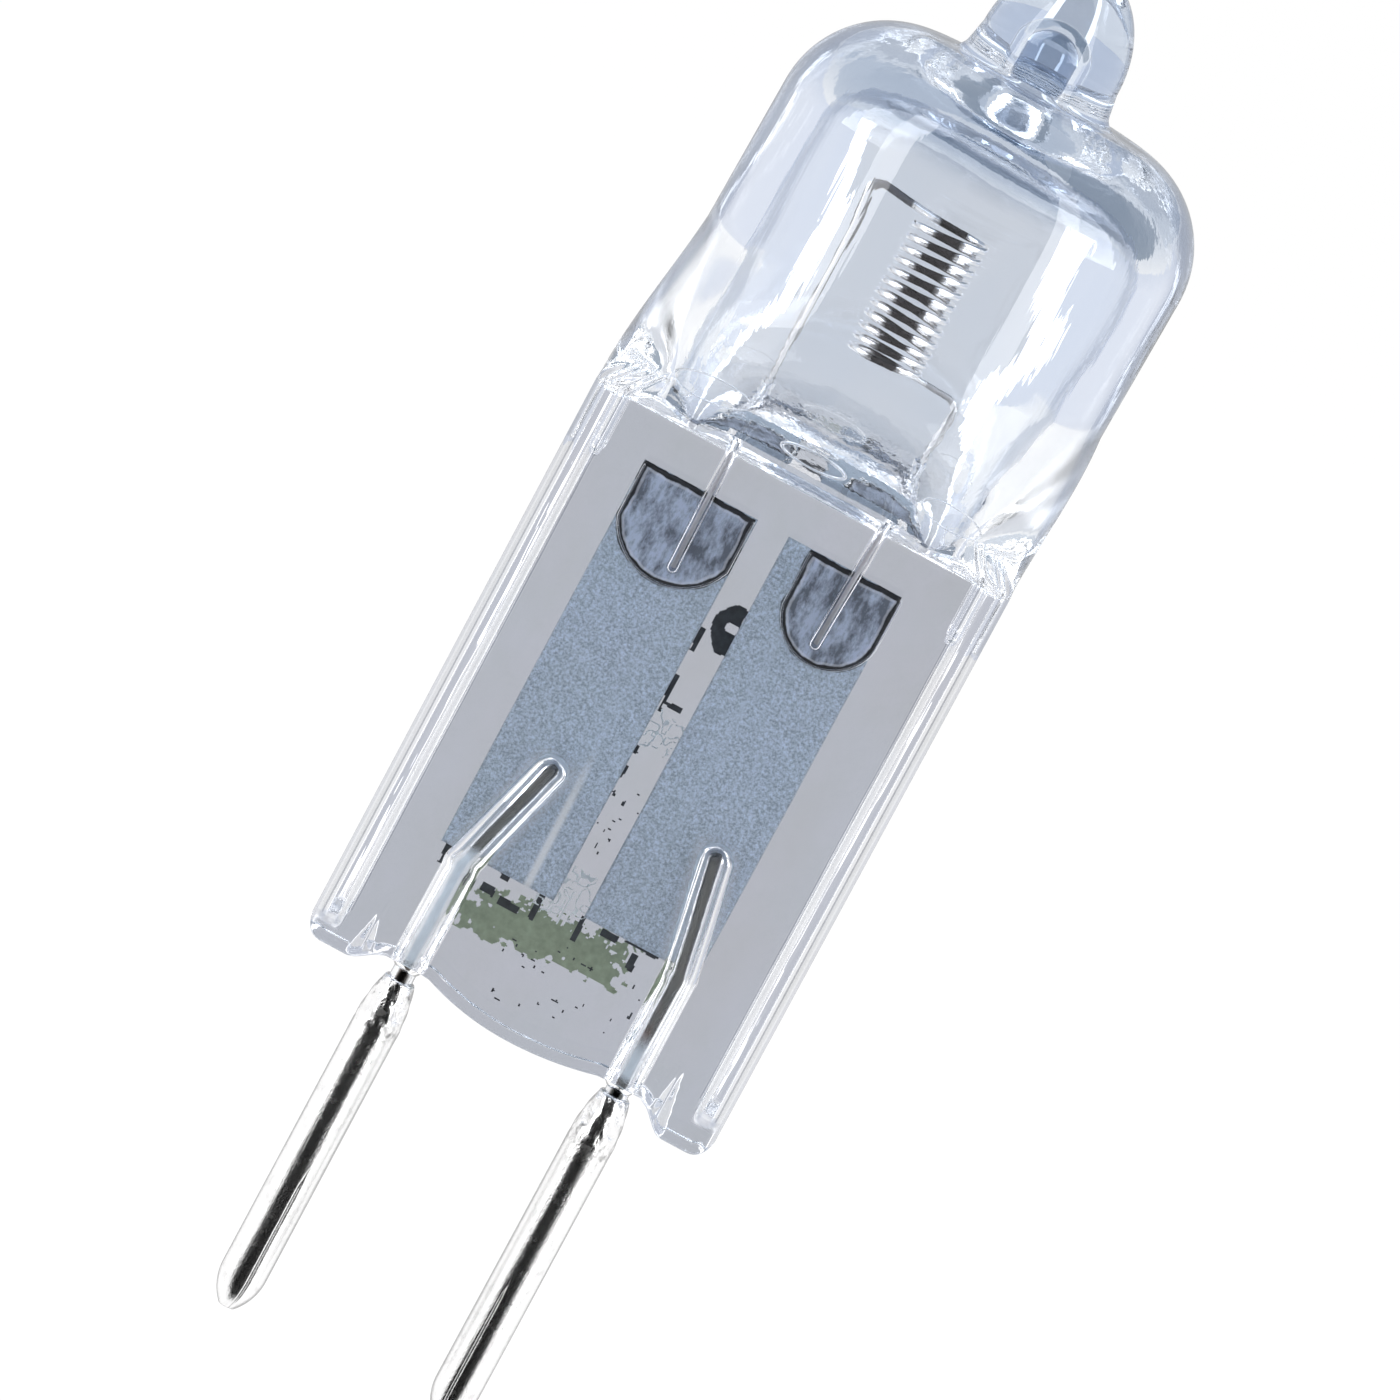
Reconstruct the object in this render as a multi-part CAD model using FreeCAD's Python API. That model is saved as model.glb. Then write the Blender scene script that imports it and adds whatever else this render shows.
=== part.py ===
import FreeCAD, Part
import math
import os

# Low-voltage halogen capsule with two contact pins, in millimetres.
# +Z runs along the lamp's axis, from the pins to the exhaust tip.
# X runs along the pins' pitch, and the broad faces of the press look along -Y and +Y.
# The origin is midway between the pins, where they reach their full diameter.
# Sizes whose name ends in HEIGHT are measured upwards from the foot of the press.

# Contact pins: nickel sleeves rolled round the leads
PIN_PITCH = 6.35
PIN_DIA = 1.27
PIN_LENGTH = 8.4
NOSE_LENGTH = 1.05
NOSE_FLAT_DIA = 0.45
NOSE_BANDS = 2
COLLAR_LENGTH = 1.45
COLLAR_RIM_DIA = 0.84
COLLAR_BANDS = 2
CRIMP_HEIGHT = 0.8
CRIMP_DEPTH = 0.06
CRIMP_LENGTH = 0.7
CRIMP_SIDES = 4
SEAM_WIDTH = 0.05
SEAM_DEPTH = 0.2
SEAM_LENGTH = 3.8
LEFT_SEAM_ANGLE = -68.0
RIGHT_SEAM_ANGLE = -102.0

# Outer leads: molybdenum wire
LEAD_DIA = 0.65
LEAD_REACH = 3.3
LEAD_BEND_HEIGHT = 3.4
LEFT_LEAD_END_X = -2.28
RIGHT_LEAD_END_X = 2.55
LEAD_WELD_LENGTH = 2.96
LEAD_WELD_FLAT = 0.02

# Foils: molybdenum strip with feathered long edges
FOIL_WIDTH = 3.3
FOIL_THICKNESS = 0.03
FOIL_FEATHER = 0.35
FOIL_PITCH = 4.2
FOIL_SHIFT = -0.19
FOIL_FOOT_HEIGHT = 3.64
FOIL_COVER = 1.38

# Filament: one tungsten wire, coiled upright, with two legs
WIRE_DIA = 0.2
WIRE_SIDES = 6
COIL_DIA = 2.1
COIL_TURNS = 12
COIL_CHORDS = 14
COIL_PITCH = 0.343
COIL_CLEARANCE = 3.5
COIL_CENTRE_X = 0.28
LEG_BEND = 0.3
LEG_WELD_LENGTH = 2.12
LEG_KNEE_RISE = 0.35
LEFT_LEG_TOP_X = -2.17
LEFT_LEG_KNEE_X = -2.08
LEFT_LEG_FOOT_X = -2.0
RIGHT_LEG_TOP_X = 2.6
RIGHT_LEG_KNEE_X = 2.38
RIGHT_LEG_FOOT_X = 2.17
LEG_WELD_FLAT = 0.01

# Press: the flattened foot of the quartz envelope
NECK_LENGTH = 1.6
PRESS_WIDTH = 12.0
PRESS_HEIGHT = 16.3
WEB_THICKNESS = 2.6
PRESS_CORNER_RADIUS = 0.55
PRESS_EDGE_RADIUS = 0.9
LEFT_LOBE_RISE = 0.0
RIGHT_LOBE_RISE = -0.35
LEFT_SEAT_RISE = 0.47
RIGHT_SEAT_RISE = 0.34
SEAT_HALF_WIDTH = 0.62
LOBE_FLAT = 0.75
RAIL_WIDTH = 0.66
RAIL_INSET = 0.12
RAIL_THICKNESS = 3.8
RAIL_FOOT_HEIGHT = 0.45
RAIL_RUNOUT = 1.3
RAIL_HEAD_WIDTH = 0.84
RAIL_HEAD_LENGTH = 1.6
RAIL_HEAD_THICKNESS = 3.4

# Hollows that the press leaves round the sealed metal
LEAD_CHANNEL_DIA = 1.0
LEG_CHANNEL_DIA = 0.34
POCKET_MARGIN = 0.05
POCKET_GAP = 0.04
POCKET_LENGTH = 2.62
POCKET_BELLY = 1.1
RIGHT_POCKET_INSET = 0.72
PULL_MARK_DIA = 0.42
PULL_MARK_SIDES = 6
LEFT_PULL_MARK_X = -4.45
RIGHT_PULL_MARK_X = 4.4
LEFT_PULL_MARK_LENGTH = 1.4
RIGHT_PULL_MARK_LENGTH = 1.9

# Bulb: the round upper part of the quartz envelope, drawn in bands
BULB_DIA = 11.56
WALL = 1.2
FLARE_LENGTH = 4.8
FLARE_POWER = 5.0
FLARE_BANDS = 6
FLARE_CROWDING = 1.7
OVAL_POINTS = 16
STRAIGHT_LENGTH = 4.0
SHOULDER_RADIUS = 2.9
SHOULDER_BANDS = 4
CROWN_WALL = 1.4
CAVITY_FOOT_GAP = 1.15
CAVITY_FOOT_WIDTH = 8.7
CAVITY_FOOT_DEPTH = 0.7
CEILING_BANDS = 2
BULB_SHIFT = 0.32
BULB_LEAN = 1.5

# Exhaust tip: the stub of the pumping tube, melted shut
TIP_BASE_DIA = 4.1
TIP_DIA = 3.9
TIP_SKIRT = 0.9
TIP_BANDS = 3
TIP_LENGTH = 3.5
TIP_SHIFT = -0.18
TIP_BORE_DIA = 1.45
TIP_BORE_LENGTH = 3.1
TIP_MOUTH_DIA = 4.2
TIP_THROAT_LENGTH = 1.0

# Places that follow from the sizes above
PIN_RADIUS = PIN_DIA / 2
PIN_X = PIN_PITCH / 2
LEAD_RADIUS = LEAD_DIA / 2
WIRE_RADIUS = WIRE_DIA / 2
COIL_RADIUS = (COIL_DIA - WIRE_DIA) / 2
COIL_SLOPE = COIL_PITCH / (2 * math.pi * COIL_RADIUS)
WIRE_CORNER = WIRE_RADIUS * math.sqrt(2 * math.pi / (WIRE_SIDES * math.sin(2 * math.pi / WIRE_SIDES)))
FOIL_TOP_HEIGHT = PRESS_HEIGHT - FOIL_COVER
LEAD_END_HEIGHT = FOIL_FOOT_HEIGHT + LEAD_WELD_LENGTH
LEG_FOOT_HEIGHT = FOIL_TOP_HEIGHT - LEG_WELD_LENGTH
LEG_KNEE_HEIGHT = PRESS_HEIGHT + CAVITY_FOOT_GAP + LEG_KNEE_RISE
COIL_FOOT_HEIGHT = PRESS_HEIGHT + COIL_CLEARANCE
LEFT_FOIL_X = FOIL_SHIFT - FOIL_PITCH / 2
RIGHT_FOIL_X = FOIL_SHIFT + FOIL_PITCH / 2
FOIL_FRONT_Y = LEAD_RADIUS - LEAD_WELD_FLAT
FOIL_Y = FOIL_FRONT_Y + FOIL_THICKNESS / 2
LEG_Y = FOIL_FRONT_Y - WIRE_RADIUS + LEG_WELD_FLAT
PRESS_TOP = NECK_LENGTH + PRESS_HEIGHT
BULB_BASE = PRESS_TOP + FLARE_LENGTH
BULB_RADIUS = BULB_DIA / 2
CROWN_RISE = STRAIGHT_LENGTH + SHOULDER_RADIUS
CEILING_RISE = CROWN_RISE - CROWN_WALL

# Corner style of a swept rod
MITRED = 1

Y_AXIS = FreeCAD.Vector(0, 1, 0)
Z_AXIS = FreeCAD.Vector(0, 0, 1)
ORIGIN = FreeCAD.Vector(0, 0, 0)


def point(x, y, z):
    return FreeCAD.Vector(x, y, z)


def line(start, end):
    return Part.LineSegment(start, end).toShape()


def arc(start, middle, end):
    return Part.Arc(start, middle, end).toShape()


def face(edges):
    return Part.Face(Part.Wire(edges))


def polygon(corners):
    return Part.makePolygon(corners + corners[:1])


def turned_bands(outline):
    """Solid of revolution about the Z axis, from radius and height pairs."""
    corners = [point(radius, 0, height) for radius, height in outline]
    return Part.Face(polygon(corners)).revolve(ORIGIN, Z_AXIS, 360)


def slab(x_low, x_high, y_low, y_high, z_low, z_high):
    corner = point(x_low, y_low, z_low)
    return Part.makeBox(x_high - x_low, y_high - y_low, z_high - z_low, corner)


def rod(start, end, diameter):
    return Part.makeCylinder(diameter / 2, (end - start).Length, start, end - start)


def quarter(bands):
    """Angles of the band edges over a quarter turn, without the first."""
    return [math.pi / 2 * (index + 1) / bands for index in range(bands)]


# Pins


def ogive_loss(length, drop, height):
    """Radius lost at a height up an arc that leaves a cylinder tangentially."""
    radius = (length ** 2 + drop ** 2) / (2 * drop)
    return radius - math.sqrt(radius ** 2 - height ** 2)


def ogive_bands(length, end_radius, start_z, way, bands):
    """Radius and height pairs along an ogive that starts at the sleeve's full diameter."""
    drop = PIN_RADIUS - end_radius
    pairs = []
    for index in range(bands + 1):
        height = length * index / bands
        pairs.append((PIN_RADIUS - ogive_loss(length, drop, height), start_z + way * height))
    return pairs


def pin_blank():
    """Sleeve with a bullet nose, a tapered collar and a blind bore for the lead."""
    nose = ogive_bands(NOSE_LENGTH, NOSE_FLAT_DIA / 2, NOSE_LENGTH - PIN_LENGTH, -1, NOSE_BANDS)
    collar = ogive_bands(COLLAR_LENGTH, COLLAR_RIM_DIA / 2, 0, 1, COLLAR_BANDS)
    bore = [(LEAD_RADIUS, COLLAR_LENGTH), (LEAD_RADIUS, -LEAD_REACH), (0, -LEAD_REACH)]
    return turned_bands([(0, -PIN_LENGTH)] + nose[::-1] + collar + bore)


def crimp_flats():
    """Flats that the crimping tool squeezes into the collar, evenly round it."""
    lost = ogive_loss(COLLAR_LENGTH, PIN_RADIUS - COLLAR_RIM_DIA / 2, CRIMP_HEIGHT)
    reach = PIN_RADIUS - lost - CRIMP_DEPTH
    flats = []
    for index in range(CRIMP_SIDES):
        flat = slab(reach, PIN_DIA, -PIN_RADIUS, PIN_RADIUS,
                    CRIMP_HEIGHT - CRIMP_LENGTH / 2, CRIMP_HEIGHT + CRIMP_LENGTH / 2)
        flat.rotate(ORIGIN, Z_AXIS, 360 * (index + 0.5) / CRIMP_SIDES)
        flats.append(flat)
    return flats


def contact_pin(x, seam_angle):
    """Rolled sleeve, crimped at its collar, with a seam that stays open towards the nose."""
    seam = slab(PIN_RADIUS - SEAM_DEPTH, PIN_DIA, -SEAM_WIDTH / 2, SEAM_WIDTH / 2,
                -PIN_LENGTH, SEAM_LENGTH - PIN_LENGTH)
    seam.rotate(ORIGIN, Z_AXIS, seam_angle)
    pin = pin_blank().cut([seam] + crimp_flats())
    pin.translate(point(x, 0, 0))
    return pin


# Leads


def lead_rod(foot, end_x, diameter):
    """Round rod up from its foot, with one mitred bend in towards the foil."""
    bend = point(foot.x, 0, NECK_LENGTH + LEAD_BEND_HEIGHT)
    path = Part.makePolygon([foot, bend, point(end_x, 0, NECK_LENGTH + LEAD_END_HEIGHT)])
    section = Part.Wire([Part.makeCircle(diameter / 2, foot, Z_AXIS)])
    return path.makePipeShell([section], True, False, MITRED)


def foil_slab(foil_x, depth):
    """Space behind the front face of a foil, used to flatten what is welded to it."""
    return slab(foil_x - FOIL_WIDTH / 2, foil_x + FOIL_WIDTH / 2, FOIL_FRONT_Y, FOIL_FRONT_Y + depth,
                NECK_LENGTH + FOIL_FOOT_HEIGHT, NECK_LENGTH + FOIL_TOP_HEIGHT)


def lead(pin_x, end_x, foil_x):
    """Wire from the bottom of the pin's bore, bent in towards its flattened weld on the foil."""
    wire = lead_rod(point(pin_x, 0, -LEAD_REACH), end_x, LEAD_DIA)
    return wire.cut(foil_slab(foil_x, LEAD_DIA))


# Foils


def foil(foil_x):
    """Flat strip whose long edges thin out to a feather."""
    half = FOIL_WIDTH / 2
    flat = half - FOIL_FEATHER
    thick = FOIL_THICKNESS / 2
    foot = NECK_LENGTH + FOIL_FOOT_HEIGHT
    outline = [(-half, 0), (-flat, -thick), (flat, -thick), (half, 0), (flat, thick), (-flat, thick)]
    corners = [point(foil_x + x, FOIL_Y + y, foot) for x, y in outline]
    return Part.Face(polygon(corners)).extrude(point(0, 0, FOIL_TOP_HEIGHT - FOIL_FOOT_HEIGHT))


# Filament


def coil_points():
    """Corners of the right-handed coil from foot to top, both ends at the back."""
    corners = []
    for index in range(COIL_TURNS * COIL_CHORDS + 1):
        turns = index / COIL_CHORDS
        x = COIL_CENTRE_X - COIL_RADIUS * math.sin(2 * math.pi * turns)
        y = COIL_RADIUS * math.cos(2 * math.pi * turns)
        corners.append(point(x, y, NECK_LENGTH + COIL_FOOT_HEIGHT + turns * COIL_PITCH))
    return corners


def leg_points(coil_end, top_x, knee_x, foot_x):
    """Corners of a leg, from its foot on the foil up to its run along the coil's tangent."""
    foot = point(foot_x, LEG_Y, NECK_LENGTH + LEG_FOOT_HEIGHT)
    knee = point(knee_x, LEG_Y, NECK_LENGTH + LEG_KNEE_HEIGHT)
    top = point(top_x, coil_end.y, coil_end.z - (top_x - coil_end.x) * COIL_SLOPE)
    below_bend = top + (knee - top).normalize() * LEG_BEND
    beside_bend = top + (coil_end - top).normalize() * LEG_BEND
    return [foot, knee, below_bend, beside_bend]


def wire_section(centre, along):
    """Polygon of the round wire's own area, square to its run."""
    across = along.cross(Y_AXIS).normalize()
    back = across.cross(along).normalize()
    corners = []
    for index in range(WIRE_SIDES):
        turn = 2 * math.pi * index / WIRE_SIDES
        offset = back * (WIRE_CORNER * math.cos(turn)) + across * (WIRE_CORNER * math.sin(turn))
        corners.append(centre + offset)
    return polygon(corners)


def filament():
    """Coil and legs as one wire, with the legs' feet flattened on the foils."""
    coil = coil_points()
    right_leg = leg_points(coil[0], RIGHT_LEG_TOP_X, RIGHT_LEG_KNEE_X, RIGHT_LEG_FOOT_X)
    left_leg = leg_points(coil[-1], LEFT_LEG_TOP_X, LEFT_LEG_KNEE_X, LEFT_LEG_FOOT_X)
    path = right_leg + coil + left_leg[::-1]
    section = wire_section(path[0], path[1] - path[0])
    wire = Part.makePolygon(path).makePipeShell([section], True, False, MITRED)
    return wire.cut([foil_slab(LEFT_FOIL_X, WIRE_DIA), foil_slab(RIGHT_FOIL_X, WIRE_DIA)])


# Press


def press_outline():
    """Outline of the press: two unequal lobes outside the leads and a shallow belly between them."""
    half = PRESS_WIDTH / 2
    near = PRESS_CORNER_RADIUS * (1 - math.sqrt(0.5))
    left_foot = NECK_LENGTH + LEFT_LOBE_RISE
    right_foot = NECK_LENGTH + RIGHT_LOBE_RISE
    left_seat = NECK_LENGTH + LEFT_SEAT_RISE
    right_seat = NECK_LENGTH + RIGHT_SEAT_RISE
    top_left = point(-half, 0, PRESS_TOP)
    top_right = point(half, 0, PRESS_TOP)
    left_side = point(-half, 0, left_foot + PRESS_CORNER_RADIUS)
    left_corner = point(near - half, 0, left_foot + near)
    left_lobe = point(PRESS_CORNER_RADIUS - half, 0, left_foot)
    left_slope = point(PRESS_CORNER_RADIUS + LOBE_FLAT - half, 0, left_foot)
    left_seat_out = point(-PIN_X - SEAT_HALF_WIDTH, 0, left_seat)
    left_seat_in = point(-PIN_X + SEAT_HALF_WIDTH, 0, left_seat)
    belly = point(0, 0, NECK_LENGTH)
    right_seat_in = point(PIN_X - SEAT_HALF_WIDTH, 0, right_seat)
    right_seat_out = point(PIN_X + SEAT_HALF_WIDTH, 0, right_seat)
    right_slope = point(half - PRESS_CORNER_RADIUS - LOBE_FLAT, 0, right_foot)
    right_lobe = point(half - PRESS_CORNER_RADIUS, 0, right_foot)
    right_corner = point(half - near, 0, right_foot + near)
    right_side = point(half, 0, right_foot + PRESS_CORNER_RADIUS)
    return [
        line(top_left, left_side),
        arc(left_side, left_corner, left_lobe),
        line(left_lobe, left_slope),
        line(left_slope, left_seat_out),
        line(left_seat_out, left_seat_in),
        arc(left_seat_in, belly, right_seat_in),
        line(right_seat_in, right_seat_out),
        line(right_seat_out, right_slope),
        line(right_slope, right_lobe),
        arc(right_lobe, right_corner, right_side),
        line(right_side, top_right),
        line(top_right, top_left),
    ]


def web():
    """Flat of the press: its long edges are rounded by the melt, its foot is cut to the outline."""
    half = PRESS_WIDTH / 2
    thick = WEB_THICKNESS / 2
    bar = slab(-half, half, -thick, thick, 0, PRESS_TOP)
    long_edges = [edge for edge in bar.Edges if edge.BoundBox.ZLength > WEB_THICKNESS]
    bar = bar.makeFillet(PRESS_EDGE_RADIUS, long_edges)
    outline = face(press_outline())
    outline.translate(point(0, -thick, 0))
    return bar.common(outline.extrude(point(0, WEB_THICKNESS, 0)))


def rail(x):
    """Raised bead along one edge of the press, on both faces, rounded along its crests and at its foot."""
    radius = RAIL_WIDTH / 2
    foot = NECK_LENGTH + RAIL_FOOT_HEIGHT + radius
    top = PRESS_TOP + RAIL_RUNOUT
    crest = RAIL_THICKNESS / 2 - radius
    bead = slab(x - radius, x + radius, -crest, crest, foot - radius, top)
    for y in (-crest, crest):
        bead = bead.fuse(rod(point(x, y, foot - radius), point(x, y, top), RAIL_WIDTH))
    side = slab(x - radius, x + radius, -RAIL_THICKNESS, RAIL_THICKNESS, foot, top)
    end = rod(point(x, -RAIL_THICKNESS, foot), point(x, RAIL_THICKNESS, foot), RAIL_WIDTH)
    return bead.common(side.fuse(end)).removeSplitter()


def rail_head(side):
    """Step that widens a rail inwards just under the bulb."""
    outer = side * (PRESS_WIDTH / 2 - RAIL_INSET - RAIL_WIDTH / 2)
    inner = side * (PRESS_WIDTH / 2 - RAIL_INSET - RAIL_HEAD_WIDTH)
    half = RAIL_HEAD_THICKNESS / 2
    return slab(min(outer, inner), max(outer, inner), -half, half,
                PRESS_TOP - RAIL_HEAD_LENGTH, PRESS_TOP + RAIL_RUNOUT / 2)


def rails():
    pieces = []
    for side in (-1, 1):
        pieces.append(rail(side * (PRESS_WIDTH / 2 - RAIL_INSET - RAIL_WIDTH / 2)))
        pieces.append(rail_head(side))
    return pieces


# Bulb


def bulb_plane(blend, height, rise=0):
    """Plane of a cross-section: the bulb shifts and leans a little, as hand-drawn quartz does."""
    lean = FreeCAD.Rotation(Y_AXIS, BULB_LEAN * blend)
    return FreeCAD.Placement(point(BULB_SHIFT * blend, 0, height) + lean.multVec(Z_AXIS * rise), lean)


def on_bulb(shape):
    """Move a shape drawn on the Z axis on to the bulb's own leaning axis."""
    shape.Placement = bulb_plane(1, BULB_BASE).multiply(shape.Placement)
    return shape


def oval_ring(height, half_x, half_y, power, blend):
    """Closed superellipse: box-like for a high power, an ellipse for a power of 2."""
    points = []
    for index in range(OVAL_POINTS):
        turn = 2 * math.pi * index / OVAL_POINTS
        cosine = math.cos(turn)
        sine = math.sin(turn)
        x = half_x * math.copysign(abs(cosine) ** (2 / power), cosine)
        y = half_y * math.copysign(abs(sine) ** (2 / power), sine)
        points.append(point(x, y, 0))
    knots = [index / OVAL_POINTS for index in range(OVAL_POINTS + 1)]
    spline = Part.BSplineCurve()
    spline.interpolate(Points=points, PeriodicFlag=True, Parameters=knots)
    ring = Part.Wire([spline.toShape()])
    ring.Placement = bulb_plane(blend, height)
    return ring


def round_ring(radius, rise):
    ring = Part.Wire([Part.makeCircle(radius)])
    ring.Placement = bulb_plane(1, BULB_BASE, rise)
    return ring


def flare_rings(foot, half_x, half_y, radius):
    """Rings from a flat slot up to the round bulb, bellied out like a bowl."""
    rings = []
    for index in range(FLARE_BANDS):
        step = (index / FLARE_BANDS) ** FLARE_CROWDING
        belly = 1 - (1 - step) ** 2
        width = half_x + (radius - half_x) * step ** 2
        depth = half_y + (radius - half_y) * belly
        power = FLARE_POWER + (2 - FLARE_POWER) * belly
        blend = step * step * (3 - 2 * step)
        rings.append(oval_ring(foot + step * (BULB_BASE - foot), width, depth, power, blend))
    return rings


def dome_rings(radius, arc_radius, crown, bands):
    """Rings up the straight wall and round the shoulder to the flat of the crown."""
    arc_rise = crown - arc_radius
    rings = [round_ring(radius, 0), round_ring(radius, arc_rise)]
    for turn in quarter(bands):
        ring_radius = radius - arc_radius * (1 - math.cos(turn))
        rings.append(round_ring(ring_radius, arc_rise + arc_radius * math.sin(turn)))
    return rings


def bulb_outside():
    rings = flare_rings(PRESS_TOP, PRESS_WIDTH / 2, WEB_THICKNESS / 2, BULB_RADIUS)
    rings += dome_rings(BULB_RADIUS, SHOULDER_RADIUS, CROWN_RISE, SHOULDER_BANDS)
    return Part.makeLoft(rings, True, True)


def bulb_inside():
    foot = PRESS_TOP + CAVITY_FOOT_GAP
    radius = BULB_RADIUS - WALL
    rings = flare_rings(foot, CAVITY_FOOT_WIDTH / 2, CAVITY_FOOT_DEPTH / 2, radius)
    rings += dome_rings(radius, SHOULDER_RADIUS - WALL, CEILING_RISE, CEILING_BANDS)
    return Part.makeLoft(rings, True, True)


def exhaust_tip():
    """Stub with a short tapered skirt and a half-egg end, standing on the crown."""
    skirt = CROWN_RISE + TIP_SKIRT
    root = CROWN_RISE - CROWN_WALL / 2
    outline = [(0, root), (TIP_BASE_DIA / 2, root), (TIP_BASE_DIA / 2, CROWN_RISE), (TIP_DIA / 2, skirt)]
    for turn in quarter(TIP_BANDS):
        outline.append((TIP_DIA / 2 * math.cos(turn), skirt + (TIP_LENGTH - TIP_SKIRT) * math.sin(turn)))
    tip = turned_bands(outline)
    tip.translate(point(TIP_SHIFT, 0, 0))
    return tip


def tip_bore():
    """Pumping hole: a wide mouth in the ceiling, a tapered throat and a blind end in the tip."""
    bore = TIP_BORE_DIA / 2
    mouth = TIP_MOUTH_DIA / 2
    end = CEILING_RISE + TIP_BORE_LENGTH
    root = CEILING_RISE - CROWN_WALL / 2
    outline = [(0, root), (mouth, root), (mouth, CEILING_RISE), (bore, CEILING_RISE + TIP_THROAT_LENGTH),
               (bore, end - bore), (0, end)]
    hole = turned_bands(outline)
    hole.translate(point(TIP_SHIFT, 0, 0))
    return hole


# Hollows round the metal


def lead_channel(pin_x, end_x, foil_x):
    """Capillary gap round a lead, open at the foot of the press and closed behind by the foil."""
    channel = lead_rod(point(pin_x, 0, NECK_LENGTH + RIGHT_LOBE_RISE), end_x, LEAD_CHANNEL_DIA)
    return channel.cut(foil_slab(foil_x, LEAD_CHANNEL_DIA))


def leg_channel(knee_x, foot_x):
    """Capillary gap round a leg, from the cavity down to the end of the leg."""
    foot = point(foot_x, LEG_Y, NECK_LENGTH + LEG_FOOT_HEIGHT)
    knee = point(knee_x, LEG_Y, NECK_LENGTH + LEG_KNEE_HEIGHT)
    return rod(foot, knee, LEG_CHANNEL_DIA)


def weld_pocket(x_low, x_high):
    """Thin D-shaped gap on both sides of a foil, where the quartz has not bonded round the weld."""
    top = NECK_LENGTH + FOIL_TOP_HEIGHT - POCKET_MARGIN
    side = top - POCKET_LENGTH + POCKET_BELLY
    lowest = point((x_low + x_high) / 2, 0, top - POCKET_LENGTH)
    outline = face([
        line(point(x_low, 0, top), point(x_low, 0, side)),
        arc(point(x_low, 0, side), lowest, point(x_high, 0, side)),
        line(point(x_high, 0, side), point(x_high, 0, top)),
        line(point(x_high, 0, top), point(x_low, 0, top)),
    ])
    depth = FOIL_THICKNESS + 2 * POCKET_GAP
    outline.translate(point(0, FOIL_Y - depth / 2, 0))
    return outline.extrude(point(0, depth, 0))


def weld_pockets():
    half = FOIL_WIDTH / 2 - POCKET_MARGIN
    left = weld_pocket(LEFT_FOIL_X - half, LEFT_FOIL_X + half)
    right = weld_pocket(RIGHT_FOIL_X - half + RIGHT_POCKET_INSET, RIGHT_FOIL_X + half)
    return [left, right]


def pull_mark(x, length, foot):
    """Tapered groove that the jaws leave in the front face, running up from the foot."""
    corners = []
    for index in range(PULL_MARK_SIDES):
        turn = 2 * math.pi * index / PULL_MARK_SIDES
        corners.append(point(math.cos(turn), math.sin(turn), 0) * (PULL_MARK_DIA / 2))
    apex = Part.Vertex(point(0, 0, length))
    groove = Part.makeLoft([polygon(corners), apex], True, True)
    groove.translate(point(x, -WEB_THICKNESS / 2, foot))
    return groove


def pull_marks():
    left = pull_mark(LEFT_PULL_MARK_X, LEFT_PULL_MARK_LENGTH, NECK_LENGTH + LEFT_LOBE_RISE)
    right = pull_mark(RIGHT_PULL_MARK_X, RIGHT_PULL_MARK_LENGTH, NECK_LENGTH + RIGHT_LOBE_RISE)
    return [left, right]


def hollows():
    """Everything that is taken out of the envelope, apart from the metal itself."""
    channels = [
        lead_channel(-PIN_X, LEFT_LEAD_END_X, LEFT_FOIL_X),
        lead_channel(PIN_X, RIGHT_LEAD_END_X, RIGHT_FOIL_X),
        leg_channel(LEFT_LEG_KNEE_X, LEFT_LEG_FOOT_X),
        leg_channel(RIGHT_LEG_KNEE_X, RIGHT_LEG_FOOT_X),
    ]
    return [bulb_inside(), on_bulb(tip_bore())] + channels + weld_pockets() + pull_marks()


def glass_envelope(foils):
    """Bulb, tip and press as one piece of quartz, with its cavity and the beds of the metal."""
    outside = bulb_outside().fuse([on_bulb(exhaust_tip()), web()] + rails())
    return outside.cut(hollows() + foils)


def lamp():
    left_foil = foil(LEFT_FOIL_X)
    right_foil = foil(RIGHT_FOIL_X)
    return {
        "glass_envelope": glass_envelope([left_foil, right_foil]),
        "filament": filament(),
        "left_foil": left_foil,
        "right_foil": right_foil,
        "left_lead": lead(-PIN_X, LEFT_LEAD_END_X, LEFT_FOIL_X),
        "right_lead": lead(PIN_X, RIGHT_LEAD_END_X, RIGHT_FOIL_X),
        "left_pin": contact_pin(-PIN_X, LEFT_SEAM_ANGLE),
        "right_pin": contact_pin(PIN_X, RIGHT_SEAM_ANGLE),
    }


os.makedirs("parts", exist_ok=True)
for node, shape in lamp().items():
    print(node, "solids", len(shape.Solids), "volume", round(shape.Volume, 3), "valid", shape.isValid())
    shape.Solids[0].exportStep("parts/" + node + ".step")
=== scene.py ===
"""Looks of a halogen capsule bulb: clear quartz, sealed foils, a coil and two contact pins."""

import math

import bpy
import numpy as np
from bpy.props import FloatProperty, FloatVectorProperty, PointerProperty
from mathutils import Matrix, Vector


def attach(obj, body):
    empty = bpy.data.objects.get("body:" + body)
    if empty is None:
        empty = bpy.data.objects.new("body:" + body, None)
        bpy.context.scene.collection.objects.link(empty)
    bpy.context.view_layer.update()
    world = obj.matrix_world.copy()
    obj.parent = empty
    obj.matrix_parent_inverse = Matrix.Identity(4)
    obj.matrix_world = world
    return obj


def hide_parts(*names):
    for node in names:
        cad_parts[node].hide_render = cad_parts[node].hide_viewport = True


bl_info = {
    "name": "Halogen capsule bulb",
    "version": (1, 0, 0),
    "blender": (4, 5, 0),
    "location": "3D View > Sidebar > Lamp",
    "description": "Builds the quartz, the filament, the sealed metal, the pins and a small studio",
    "category": "Object",
}

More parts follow.
